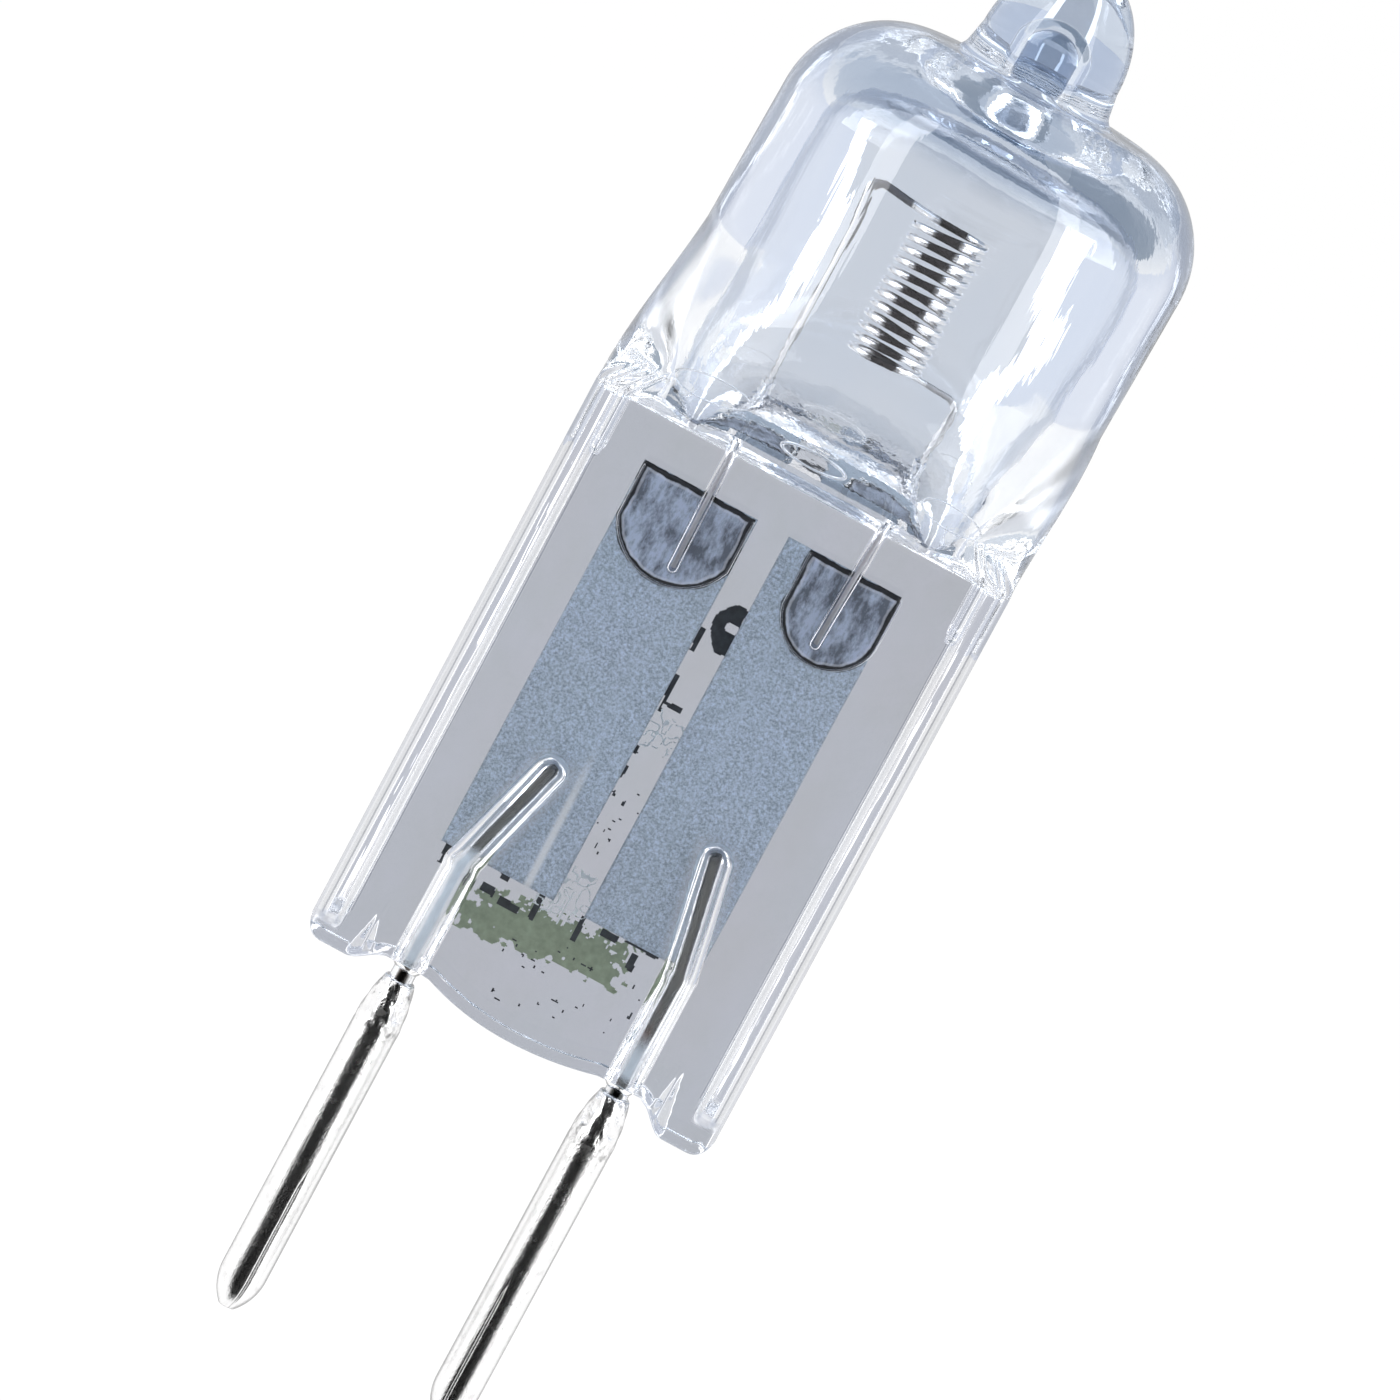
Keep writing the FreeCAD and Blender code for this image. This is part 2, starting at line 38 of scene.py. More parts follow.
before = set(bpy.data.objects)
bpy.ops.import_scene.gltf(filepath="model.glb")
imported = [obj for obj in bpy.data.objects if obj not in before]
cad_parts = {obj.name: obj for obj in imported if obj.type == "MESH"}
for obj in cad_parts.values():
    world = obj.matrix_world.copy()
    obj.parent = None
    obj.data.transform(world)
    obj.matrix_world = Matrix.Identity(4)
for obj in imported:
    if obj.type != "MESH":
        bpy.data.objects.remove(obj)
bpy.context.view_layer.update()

MM = 0.001
QUARTER = math.pi / 2

# Places on the lamp in millimetres, -1 for the left side. Heights are over the foot of the press, but
# for WELD_TOP, which is over the pins; a weld zone has a middle and half a width.
COIL_X, COIL_FOOT, COIL_TURNS = 0.28, 19.8, 12
FOIL_X = {-1: -2.29, 1: 1.91}
FOIL_FOOT, FOIL_TOP = 3.64, 14.92
LEAD_END_X = {-1: -2.28, 1: 2.55}
LEAD_SLOPE = {-1: 0.28, 1: 0.195}
LEAD_BEND, LEAD_END = 3.4, 6.6
LEG_X = {-1: (-2.0, -2.08, -2.17), 1: (2.17, 2.38, 2.6)}
LEG_FOOT, LEG_KNEE = 12.8, 17.8
WELD_ZONE = {-1: (-2.29, 1.585), 1: (2.27, 1.32)}
WELD_TOP, WELD_LENGTH, WELD_BELLY = 16.47, 2.62, 1.1
MOUTH_SHIFT = 0.18
COLLAR_HEIGHT, COLLAR_RIM = 1.45, 0.42

# Colours that belong to one place on the lamp, from whatever side it is seen. Most of them paint light and
# shade: highlights, sheens, dark lines, dark edges and outlines.
WHITE = (1.0, 1.0, 1.0)
PRESS_CLOUD, BULB_CLOUD = (0.605, 0.618, 0.628), (0.70, 0.80, 0.93)
RAIL_CREST_PAINTED_LIGHT, RAIL_PAINTED_DARK_LINE = (0.74, 0.74, 0.78), (0.30, 0.31, 0.35)
CROWN_PAINTED_SHADE, EDGE_PAINTED_SHADE = (0.50, 0.57, 0.68), (0.28, 0.33, 0.44)
FOIL_SHEEN, WELD_PAINTED_RIM, WELD_PAINTED_OUTLINE = (0.95, 0.98, 1.0), (0.9, 0.93, 1.0), (0.01, 0.012, 0.016)
LEG_PAINTED_SHADE = (0.12, 0.12, 0.13)
LEAD_PAINTED_HIGHLIGHT, LEAD_PAINTED_SHEEN, LEAD_PAINTED_DARK_CORE = (0.92, 0.93, 0.95), (0.93, 0.96, 1.0), (0.60, 0.72, 0.84)
PRINT_PALE = (0.72, 0.78, 0.80)


# Settings

def number(name, description, default):
    return FloatProperty(name=name, description=description, default=default)


def colour(name, description, default):
    return FloatVectorProperty(name=name, description=description, subtype="COLOR", default=default,
                               min=0, max=1)


class LampSizes(bpy.types.PropertyGroup):
    """Sizes of the lamp, in millimetres, in the frame of the solids."""

    neck: number("Neck", "Height of the press foot above the pins", 1.6)
    press_half: number("Press half width", "Half the width of the press", 6.0)
    press_height: number("Press height", "Height of the press", 16.3)
    web_half: number("Web half thickness", "Half the thickness of the press", 1.3)
    web_edge: number("Web edge", "Radius of the long edges of the press", 0.3)
    rail_centre: number("Rail centre", "Distance of a rail from the axis", 5.55)
    rail_half: number("Rail half thickness", "Half the press's thickness at a rail", 1.88)
    rail_foot: number("Rail foot", "Height at which a rail starts", 0.45)
    bulb_radius: number("Bulb radius", "Outer radius of the bulb", 5.78)
    wall: number("Wall", "Thickness of the bulb's wall", 1.2)
    flare: number("Flare", "Length over which the press opens into the bulb", 4.8)
    shoulder_height: number("Shoulder height", "Height of the shoulder's foot", 25.1)
    shoulder: number("Shoulder", "Radius of the shoulder", 2.9)
    crown_wall: number("Crown wall", "Thickness of the quartz over the cavity", 1.4)
    cavity_gap: number("Cavity gap", "Solid quartz between press and cavity", 1.15)
    cavity_half: number("Cavity half width", "Half width of the cavity's foot", 4.35)
    shift: number("Shift", "Sideways shift of the bulb on the press", 0.32)
    lean: number("Lean", "Lean of the bulb on the press, in degrees", 1.5)
    pin_half_pitch: number("Half pin pitch", "Distance of a pin from the axis", 3.175)
    pin_radius: number("Pin radius", "Radius of a contact pin", 0.635)
    pin_length: number("Pin length", "Length of a contact pin", 8.4)
    lead_radius: number("Lead radius", "Radius of an outer lead", 0.325)
    wire_radius: number("Wire radius", "Radius of the filament's wire", 0.1)
    coil_radius: number("Coil radius", "Radius of the coil's centre line", 0.95)
    coil_pitch: number("Coil pitch", "Rise of the coil in one turn", 0.343)
    foil_front: number("Foil front", "Depth of the foils' front faces", 0.305)

    @property
    def press_top(self):
        return self.neck + self.press_height

    @property
    def bulb_foot(self):
        return self.press_top + self.flare

    @property
    def shoulder_rise(self):
        """Height of the shoulder's foot over the bulb's foot."""
        return self.neck + self.shoulder_height - self.bulb_foot


class LampColours(bpy.types.PropertyGroup):
    """Colours of the lamp's materials."""

    press_tint: colour("Press tint", "What a pass through the press lets through", (0.652, 0.652, 0.692))
    bulb_tint: colour("Bulb tint", "What a pass through one wall lets through", (0.914, 0.932, 0.958))
    foil: colour("Foil", "Colour of the foils", (0.48, 0.575, 0.69))
    foil_dark: colour("Foil shadow", "Colour of the foils where quartz lets go", (0.235, 0.275, 0.35))
    tungsten: colour("Tungsten", "Colour of the filament", (0.95, 0.94, 0.94))
    # Painted reflection: near black for the dark band down the middle of the coil.
    coil_painted_dark: colour("Coil's painted dark", "Colour of the coil's darkened front", (0.035, 0.03, 0.03))
    # Painted reflection: the dark that runs down the middle of each lead.
    lead: colour("Lead", "Colour of the outer leads", (0.11, 0.115, 0.115))
    oxide: colour("Oxide", "Colour of the oxide on the leads", (0.14, 0.075, 0.06))
    nickel: colour("Nickel", "Colour of the contact pins", (0.96, 0.955, 0.955))
    ink: colour("Ink", "Colour of the printed marks", (0.035, 0.04, 0.045))
    stain: colour("Stain", "Colour of the worn print", (0.265, 0.325, 0.235))


class StudioSettings(bpy.types.PropertyGroup):
    """Floor, panels and camera."""

    floor_drop: number("Floor drop", "Distance of the floor below the pins, in millimetres", 14.0)
    front_glow: number("Front panels", "Brightness of the panels beside the camera", 5.0)
    side_glow: number("Side panels", "Brightness of the panels at the sides", 5.5)
    back_glow: number("Back panels", "Brightness of the strips behind", 2.1)
    blue_glow: number("Blue panel", "Brightness of the pale blue panel above", 0.48)
    lean: number("Camera roll", "Lean of the lamp in the picture, in degrees", 28.3)
    elevation: number("Camera height", "Angle of the camera over the floor, in degrees", 8.5)
    lens: number("Lens", "Focal length, in millimetres", 200.0)
    view_width: number("View width", "Width of the picture at the lamp, in millimetres", 36.14)


# Shader maths

def maths(operation):
    """Method that puts a Math node on a socket and on the values given with it."""
    def method(self, *others):
        inputs = dict(enumerate((self, *others)))
        return self.graph.node("ShaderNodeMath", {"operation": operation}, inputs)
    return method


class Value:
    """A socket in a shader, so that maths on it reads as an expression."""

    def __init__(self, graph, socket):
        self.graph = graph
        self.socket = socket

    __add__ = __radd__ = maths("ADD")
    __sub__ = maths("SUBTRACT")
    __mul__ = __rmul__ = maths("MULTIPLY")
    __truediv__ = maths("DIVIDE")
    __pow__ = maths("POWER")
    __abs__ = maths("ABSOLUTE")
    least = maths("MINIMUM")
    most = maths("MAXIMUM")

    def __rsub__(self, other):
        return self.graph.node("ShaderNodeMath", {"operation": "SUBTRACT"}, {0: other, 1: self})

    def clamped(self):
        return self.graph.node("ShaderNodeMath", {"operation": "ADD", "use_clamp": True}, {0: self, 1: 0.0})

    def spread(self, gain):
        """Contrast raised round one half, kept from 0 to 1."""
        return ((self - 0.5) * gain + 0.5).clamped()

    def smooth(self, low, high):
        """0 under low and 1 over high, with a soft change between."""
        step = ((self - low) / (high - low)).clamped()
        return step * step * (3.0 - 2.0 * step)

    def fall(self, low, high):
        """1 under low and 0 over high."""
        return 1.0 - self.smooth(low, high)


class Graph:
    """The nodes of one material or world."""

    def __init__(self, owner):
        self.owner = owner
        owner.use_nodes = True
        self.tree = owner.node_tree
        self.tree.nodes.clear()

    def node(self, kind, settings=None, inputs=None, output=0):
        made = self.tree.nodes.new(kind)
        for name, setting in (settings or {}).items():
            setattr(made, name, setting)
        for name, content in (inputs or {}).items():
            if isinstance(content, Value):
                self.tree.links.new(content.socket, made.inputs[name])
            else:
                made.inputs[name].default_value = content
        return Value(self, made.outputs[output]) if made.outputs else made

    def place(self):
        """X and Z of the shaded point in the lamp's frame, in millimetres."""
        coordinates = self.node("ShaderNodeTexCoord", output="Object")
        parts = self.node("ShaderNodeSeparateXYZ", inputs={0: coordinates})
        outputs = parts.socket.node.outputs
        return [Value(self, outputs[index]) / MM for index in (0, 2)]

    def noise(self, squeeze, scale, detail=2.0, roughness=0.5):
        """Noise over the lamp in millimetres, drawn out along Z where squeeze is under 1."""
        coordinates = self.node("ShaderNodeTexCoord", output="Object")
        vector = self.node("ShaderNodeVectorMath", {"operation": "MULTIPLY"},
                           {0: coordinates, 1: (1 / MM, 1 / MM, squeeze / MM)})
        return self.node("ShaderNodeTexNoise", {}, {"Vector": vector, "Scale": scale, "Detail": detail,
                                                   "Roughness": roughness})

    def mix(self, factor, first, second):
        """Colour between two colours."""
        first, second = [end if isinstance(end, Value) else (*end, 1.0) for end in (first, second)]
        return self.node("ShaderNodeMix", {"data_type": "RGBA"}, {0: factor, 6: first, 7: second}, output=2)

    def bump(self, height, distance, strength=1.0):
        return self.node("ShaderNodeBump", {}, {"Height": height, "Distance": distance * MM,
                                                "Strength": strength})

    def finish(self, shader, kind="ShaderNodeOutputMaterial"):
        """Ends the tree with a shader and gives back what it belongs to."""
        self.node(kind, {}, {"Surface": shader})
        return self.owner

    def principled(self, **sockets):
        named = {key.replace("_", " "): value for key, value in sockets.items()}
        return self.finish(self.node("ShaderNodeBsdfPrincipled", {}, named))


def material(name):
    return Graph(bpy.data.materials.new(name))


# Finishes

def shaded(colour, factor):
    return tuple(min(1.0, channel * factor) for channel in colour)


def beside_leads(x, z, sizes):
    """Distance in X to the centre line of the nearer lead, as a socket value."""
    down = sizes.neck + LEAD_END - z
    left = (LEAD_END_X[-1] - down * LEAD_SLOPE[-1]).most(-sizes.pin_half_pitch)
    right = (LEAD_END_X[1] + down * LEAD_SLOPE[1]).least(sizes.pin_half_pitch)
    return abs(x - left).least(abs(x - right))


def quartz_finish(sizes, colours):
    """Clear quartz with a cold grey tint, faint draw lines and a little haze, and with painted highlights on
    the rails and round the lower leads, painted dark lines along the rails, painted dark edges on the bulb
    and painted shade towards the tip.
    """
    graph = material("quartz_clear")
    x, z = graph.place()
    neck, press_top = sizes.neck, sizes.press_top
    upper = z.smooth(press_top - 0.4, press_top + 1.2)
    mottle = graph.noise(0.7, 0.55, 5.0, 0.72)
    pressed = graph.mix(((mottle - 0.38) * 3.0).clamped(), colours.press_tint, PRESS_CLOUD)
    tint = graph.mix(upper, pressed, colours.bulb_tint)
    reach = abs(x)
    # Painted highlight: the quartz over the rails is tinted lighter on their crests and white on their walls
    # and at their feet.
    rail = reach.smooth(5.12, 5.15) * reach.fall(5.88, 5.94)
    rail = rail * z.smooth(neck + 0.72, neck + 0.78) * z.fall(press_top, press_top + 0.5)
    inner = (sizes.rail_centre - reach).smooth(0.18, 0.22)
    outer = (reach - sizes.rail_centre).smooth(0.07, 0.11)
    wall = inner.most(outer).most(z.fall(neck + 0.86, neck + 0.92))
    tint = graph.mix(rail, tint, graph.mix(wall, RAIL_CREST_PAINTED_LIGHT, WHITE))
    # Painted shade: thin dark lines along both edges of each rail.
    painted_crease_line = abs(reach - 5.165).fall(0.012, 0.035).most(abs(reach - 5.755).fall(0.012, 0.035))
    tint = graph.mix(painted_crease_line * rail, tint, RAIL_PAINTED_DARK_LINE)
    # Painted shade: the quartz darker and bluer towards the tip.
    tint = graph.mix(z.smooth(26.6, 28.6) * 0.9, tint, CROWN_PAINTED_SHADE)
    # Painted highlight: the quartz round the lower part of each lead is tinted near white.
    clear = beside_leads(x, z, sizes).fall(0.44, 0.5) * z.fall(neck + 6.5, neck + 7.0)
    tint = graph.mix(clear * 0.85, tint, WHITE)
    # Painted shade: the bulb tinted dark where its surface turns away from the view.
    facing = graph.node("ShaderNodeLayerWeight", {}, {"Blend": 0.5}, output=1)
    tint = graph.mix(facing.smooth(0.56, 0.72) * upper, tint, EDGE_PAINTED_SHADE)
    cloud = graph.noise(0.6, 0.35, 2.0)
    tint = graph.mix((cloud - 0.35) * 0.5, tint, BULB_CLOUD)
    draw = graph.noise(0.05, 2.2, 3.0)
    wave = graph.noise(1, 0.5, 1.0)
    haze = graph.noise(1, 1.3, 4.0)
    corner = reach.smooth(4.7, 5.2) * z.smooth(press_top + 1.6, press_top + 2.4) * z.fall(22.2, 23.2)
    rail_end = reach.smooth(5.1, 5.2) * reach.fall(5.9, 5.96) * z.smooth(neck + 0.36, neck + 0.46)
    rail_end = rail_end * z.fall(neck + 0.92, neck + 1.08)
    return graph.principled(
        Base_Color=tint, Metallic=0.0, IOR=1.458, Transmission_Weight=1.0,
        Roughness=(haze - 0.62).most(0.0) * 0.12 + corner * 0.22 + rail_end * 0.3,
        Normal=graph.bump(draw * 0.4 + wave * 0.4, 0.035, 0.5))


def arc_radius(half, rise):
    """Radius of the arc that rises so far over half its chord."""
    return (half ** 2 + rise ** 2) / (2 * rise)


def weld_distance(x, z, side):
    """Signed distance to the D-shaped zone round a weld: negative inside."""
    middle, half = WELD_ZONE[side]
    radius = arc_radius(half, WELD_BELLY)
    across = x - middle
    down = (z - (WELD_TOP - WELD_LENGTH + radius)).least(0.0)
    round_part = (across * across + down * down) ** 0.5 - radius
    return round_part.most(abs(across) - half).most(z - WELD_TOP)


def foil_finish(sizes, colours, side):
    """Matt rolled foil, speckled, with a painted sheen near its lead and along a creased line on the left
    foil, and with crackled painted shade round the weld, edged by a painted dark outline with a painted light
    rim inside it.
    """
    left = side < 0
    graph = material("foil_left" if left else "foil_right")
    x, z = graph.place()
    distance = weld_distance(x, z, side)
    edge_noise = graph.noise(1, 2.2, 3.0)
    distance = distance + (edge_noise - 0.5) * 0.16
    zone = distance.fall(-0.02, 0.02)
    # Painted shade and light: a dark outline along the edge of the zone round the weld and a light rim just
    # inside it.
    outline = abs(distance + 0.03).fall(0.055, 0.095)
    rim = abs(distance + 0.13).fall(0.02, 0.06)
    grain = graph.noise(1, 14.0, 3.0, 0.8)
    streak = graph.noise(0.03, 2.6, 3.0)
    mottle = graph.noise(0.45, 2.6, 5.0, 0.72)
    foil, dark = colours.foil, colours.foil_dark
    base = graph.mix(grain.spread(3.4), shaded(foil, 0.6), shaded(foil, 1.4))
    base = graph.mix(((streak - 0.45) * 1.2).clamped(), base, shaded(foil, 1.15))
    # Painted sheen: the foil lighter near its lead and, on the left foil, along a creased line.
    lead = abs(x - LEAD_END_X[side] - (sizes.neck + LEAD_END - z) * (-0.28 if left else 0.2))
    near = lead.fall(0.35, 0.8) * z.fall(sizes.neck + 6.4, sizes.neck + 7.3)
    base = graph.mix(near * 0.5, base, FOIL_SHEEN)
    if left:
        painted_crease_line = abs(x + 1.5 + (z - 9.0) * 0.02).fall(0.03, 0.16) * z.fall(7.5, 9.5)
        base = graph.mix(painted_crease_line * 0.8, base, FOIL_SHEEN)
    # Painted shade: the zone round the weld darker and mottled.
    base = graph.mix(zone, base, graph.mix(mottle.spread(5.0), shaded(dark, 0.6), shaded(dark, 2.3)))
    base = graph.mix((rim * 0.35).clamped(), base, WELD_PAINTED_RIM)
    base = graph.mix(outline, base, WELD_PAINTED_OUTLINE)
    return graph.principled(Base_Color=base, Metallic=0.0, Roughness=0.6 - zone * 0.15,
                            Normal=graph.bump(grain + streak, 0.012, 0.6))


def tungsten_finish(sizes, colours):
    """Drawn tungsten wire, bright on its crests, with a painted dark reflection down the middle of the coil,
    front and back, and painted shade on the legs' flanks.
    """
    graph = material("tungsten_wire")
    x, z = graph.place()
    grain = graph.noise(1, 6.0, 3.0)
    leg = abs(x - COIL_X).smooth(1.15, 1.35)
    base = graph.mix(grain, shaded(colours.tungsten, 0.85), colours.tungsten)
    # Painted reflection: a dark band down the middle of the coil.
    coil_painted_dark = (abs(x - 0.24) + (grain - 0.5) * 0.3).fall(0.3, 0.66)
    base = graph.mix(coil_painted_dark, base, colours.coil_painted_dark)
    above = z - (sizes.neck + LEG_FOOT)
    left_leg = abs(x - LEG_X[-1][0] + above * 0.0155)
    right_leg = abs(x - (LEG_X[1][0] + above * 0.042).least(LEG_X[1][2]))
    height = z.smooth(18.4, 19.2) * 0.55 + z.smooth(21.5, 22.5) * 0.45
    # Painted shade: the legs' wire darker along both flanks.
    flank_painted_shade = left_leg.least(right_leg).smooth(0.045, 0.075) * leg * height
    base = graph.mix(flank_painted_shade, base, LEG_PAINTED_SHADE)
    return graph.principled(Base_Color=base, Metallic=1.0, Roughness=0.10 + grain * 0.12 + leg * 0.3,
                            Normal=graph.bump(grain, 0.004, 0.5))


def lead_finish(sizes, colours):
    """Molybdenum wire with brown oxide, a painted dark reflection down its core and painted highlights on its
    edges, and low down a painted pale sheen with a painted darker core.
    """
    graph = material("molybdenum_wire")
    x, z = graph.place()
    patch = graph.noise(0.4, 1.6, 3.0)
    oxide = ((patch - 0.38) * 3.0).clamped() * z.fall(3.4, 6.0) * (0.35 + 0.65 * x.smooth(0.0, 0.5))
    # Painted reflection: each lead dark down its middle, where the oxide also sits, with painted highlights
    # along both edges.
    away = beside_leads(x, z, sizes) + (patch - 0.5) * 0.12
    base = graph.mix(away.smooth(0.13, 0.22), graph.mix(oxide, colours.lead, colours.oxide), LEAD_PAINTED_HIGHLIGHT)
    # Painted sheen: low down each lead is pale and not metal, with a painted darker core down its middle.
    right = x.smooth(-0.1, 0.1)
    skin = z.smooth(1.9, 2.2) * ((1.0 - right) * z.fall(5.2, 5.7) + right * z.fall(2.6, 3.5))
    skin = skin * (0.75 + 0.9 * (patch - 0.35)).clamped()
    base = graph.mix(skin, base, graph.mix(away.fall(0.08, 0.2) * 0.8, LEAD_PAINTED_SHEEN, LEAD_PAINTED_DARK_CORE))
    return graph.principled(Base_Color=base, Metallic=1.0 - skin,
                            Roughness=0.10 + oxide * 0.2 + z.fall(4.0, 5.4) * 0.1,
                            Normal=graph.bump(patch + graph.noise(0.25, 5.0, 3.0), 0.03, 0.6))


def nickel_finish(colours):
    """Bright nickel with draw lines along the pin and dents and dull spots on the collar."""
    graph = material("nickel_sleeve")
    z = graph.place()[1]
    lines = graph.noise(0.04, 9.0, 4.0, 0.6)
    spots = graph.noise(0.8, 3.4, 3.0, 0.6)
    pits = graph.noise(0.7, 16.0, 2.0, 0.7)
    collar = z.smooth(-0.9, 0.2)
    worn = ((spots - 0.55) * 7.0).clamped() * (0.2 + 0.8 * collar)
    base = graph.mix(worn, colours.nickel, shaded(colours.nickel, 0.35))
    relief = lines * 0.6 + pits * 0.35 + spots * (0.25 + 2.2 * collar)
    return graph.principled(Base_Color=base, Metallic=1.0, Roughness=0.16 + worn * 0.25 + lines * 0.16,
                            Normal=graph.bump(relief, 0.03, 0.5))


def print_finish(name, colour, fade):
    """Thin printed layer, mottled where it has rubbed off."""
    graph = material(name)
    patch = graph.noise(1, 4.0, 4.0, 0.65)
    base = graph.mix(patch.spread(3.0), colour, shaded(colour, 1.0 + fade))
    return graph.principled(Base_Color=base, Metallic=0.0, Roughness=0.6)


# Meshes

def placed_object(name, points, faces, finish, smooth=True):
    """Object whose mesh lies in the lamp's frame; points are in millimetres."""
    mesh = bpy.data.meshes.new(name)
    mesh.from_pydata([tuple(point) for point in np.asarray(points) * MM], [], faces)
    mesh.validate()
    mesh.polygons.foreach_set("use_smooth", [smooth] * len(mesh.polygons))
    mesh.materials.append(finish)
    mesh.update()
    return linked(name, mesh)


def linked(name, data):
    made = bpy.data.objects.new(name, data)
    bpy.context.scene.collection.objects.link(made)
    return made


def merge(pieces):
    """Points and faces of several closed skins as one."""
    points, faces, start = [], [], 0
    for piece_points, piece_faces in pieces:
        points.append(piece_points)
        faces += [tuple(index + start for index in face) for face in piece_faces]
        start += len(piece_points)
    return np.concatenate(points), faces


def welded(points, faces, tolerance=1e-4):
    """Same skin with points that coincide joined and flat faces left out."""
    keys = np.round(points / tolerance).astype(np.int64)
    first, inverse = np.unique(keys, axis=0, return_index=True, return_inverse=True)[1:]
    inverse = inverse.reshape(-1).tolist()
    corners = [tuple(dict.fromkeys(inverse[index] for index in face)) for face in faces]
    return points[first], [face for face in corners if len(face) > 2]


def skin(rings, inward=False):
    """Closed skin through rings of equal count, ended by rings that have shrunk to a line or a point."""
    rings = np.asarray(rings)
    count, around = rings.shape[:2]
    faces = []
    for ring in range(count - 1):
        for column in range(around):
            after = (column + 1) % around
            face = (ring * around + column, ring * around + after,
                    (ring + 1) * around + after, (ring + 1) * around + column)
            faces.append(face[::-1] if inward else face)
    return welded(rings.reshape(-1, 3), faces)


def unit(vector):
    return vector / np.linalg.norm(vector)


def turned(end, steps):
    """Angles from 0 to an end, without the 0."""
    return np.linspace(0.0, end, steps)[1:]


def tube(path, radii, sides=20, inward=False):
    """Round tube along a path with a radius at each point, closed at both ends."""
    path = np.asarray(path, dtype=float)
    radii = np.broadcast_to(radii, len(path))
    along = np.gradient(path, axis=0)
    along /= np.linalg.norm(along, axis=1)[:, None]
    side = np.cross(along[0], (0.0, 1.0, 0.0))
    if np.linalg.norm(side) < 0.1:
        side = np.cross(along[0], (1.0, 0.0, 0.0))
    turn = np.arange(sides) * 2 * math.pi / sides
    rings = [np.repeat(path[:1], sides, axis=0)]
    for centre, direction, radius in zip(path, along, radii):
        side = unit(side - direction * side.dot(direction))
        other = np.cross(direction, side)
        rings.append(centre + radius * (np.outer(np.cos(turn), side) + np.outer(np.sin(turn), other)))
    rings.append(np.repeat(path[-1:], sides, axis=0))
    return skin(rings, inward)


def capped_tube(path, radius, sides=20, inward=False, steps=5):
    """Tube with rounded ends."""
    path = np.asarray(path, dtype=float)
    first, last = unit(path[0] - path[1]), unit(path[-1] - path[-2])
    angles = turned(QUARTER, steps + 1)[:-1]
    start = [path[0] + first * radius * math.sin(angle) for angle in angles[::-1]]
    end = [path[-1] + last * radius * math.sin(angle) for angle in angles]
    radii = np.concatenate([radius * np.cos(angles[::-1]), np.full(len(path), radius),
                            radius * np.cos(angles)])
    return tube(np.vstack(start + [path] + end), radii, sides, inward)


def rounded(corners, radii, step=0.06):
    """Points along straight runs joined by tangent arcs, about a step apart."""
    corners = [np.asarray(corner, dtype=float) for corner in corners]
    points = [corners[0]]
    for before, corner, after, radius in zip(corners, corners[1:], corners[2:], radii):
        back, away = unit(before - corner), unit(after - corner)
        half = math.acos(np.clip(back.dot(away), -1, 1)) / 2
        reach = radius / math.tan(half)
        centre = corner + unit(back + away) * radius / math.sin(half)
        start = corner + back * reach - centre
        sweep = math.pi - 2 * half
        axis = unit(np.cross(start, corner + away * reach - centre))
        other = np.cross(axis, start)
        for angle in np.linspace(0.0, sweep, max(3, int(sweep * radius / step) + 2)):
            points.append(centre + start * math.cos(angle) + other * math.sin(angle))
    points.append(corners[-1])
    return np.array(points)


def smoothstep(value, low, high):
    step = np.clip((value - low) / (high - low), 0.0, 1.0)
    return step * step * (3 - 2 * step)


# Quartz

def press_columns(sizes):
    """Outline of a quarter of the press: X, the web's depth, and the outward direction there."""
    half, edge, thick = sizes.press_half, sizes.web_edge, sizes.web_half
    spans = ((0, 4.0, 17), (4.06, 4.8, 13), (4.85, 4.97, 4), (5.0, 5.16, 7), (5.18, 5.36, 12),
             (5.4, 5.7, 8), (5.73, 5.93, 12))
    turn = np.array([0.28, 0.22, 0.16, 0.1, 0.05, 0.0])
    x = np.concatenate([np.linspace(*span) for span in spans]
                       + [half - edge + edge * np.cos(turn), [half, half]])
    depth = np.where(x <= half - edge, thick,
                     thick - edge + np.sqrt(np.maximum(edge ** 2 - (x - half + edge) ** 2, 0.0)))
    depth[-2:] = [0.2, 0.0]
    out_x = np.clip((x - half + edge) / edge, 0.0, 1.0)
    out_y = np.sqrt(np.maximum(1.0 - out_x ** 2, 0.0))
    out_y[-3:] = 0.0
    return x, depth, out_x, out_y


def rail_depth(x, web, sizes):
    """Depth of the press's face over a rail: a low round crest between two sloped walls."""
    away = np.abs(x - sizes.rail_centre)
    rise = sizes.rail_half - web
    crest = 0.03 * (away / 0.24) ** 2
    wall = 1 - np.where(x < sizes.rail_centre, smoothstep(away, 0.2, 0.36), smoothstep(away, 0.08, 0.38))
    return web + (rise - np.minimum(crest, 0.2)) * wall


def head_depth(x, web):
    """Depth of the press's face over the wider head of a rail, just under the bulb."""
    inner = smoothstep(x, 5.02, 5.12)
    outer = 1.0 - smoothstep(x, 5.84, 5.98)
    return np.maximum(web, web + (1.66 - web) * inner * outer)


def foot_line(x):
    """Height of the press's foot: two lobes outside the leads and a belly between them."""
    lobe = np.where(x < 0, 0.0, -0.35)
    seat = np.where(x < 0, 0.47, 0.34)
    reach = np.abs(x)
    belly_half = 2.56
    radius = arc_radius(belly_half, seat)
    belly = radius - np.sqrt(radius ** 2 - np.minimum(reach, belly_half) ** 2)
    slope = smoothstep(reach, 3.72, 4.72)
    corner = 0.55 - np.sqrt(np.maximum(0.55 ** 2 - np.maximum(reach - 5.45, 0.0) ** 2, 0.0))
    return np.where(reach < belly_half, belly, seat + (lobe - seat) * slope) + corner


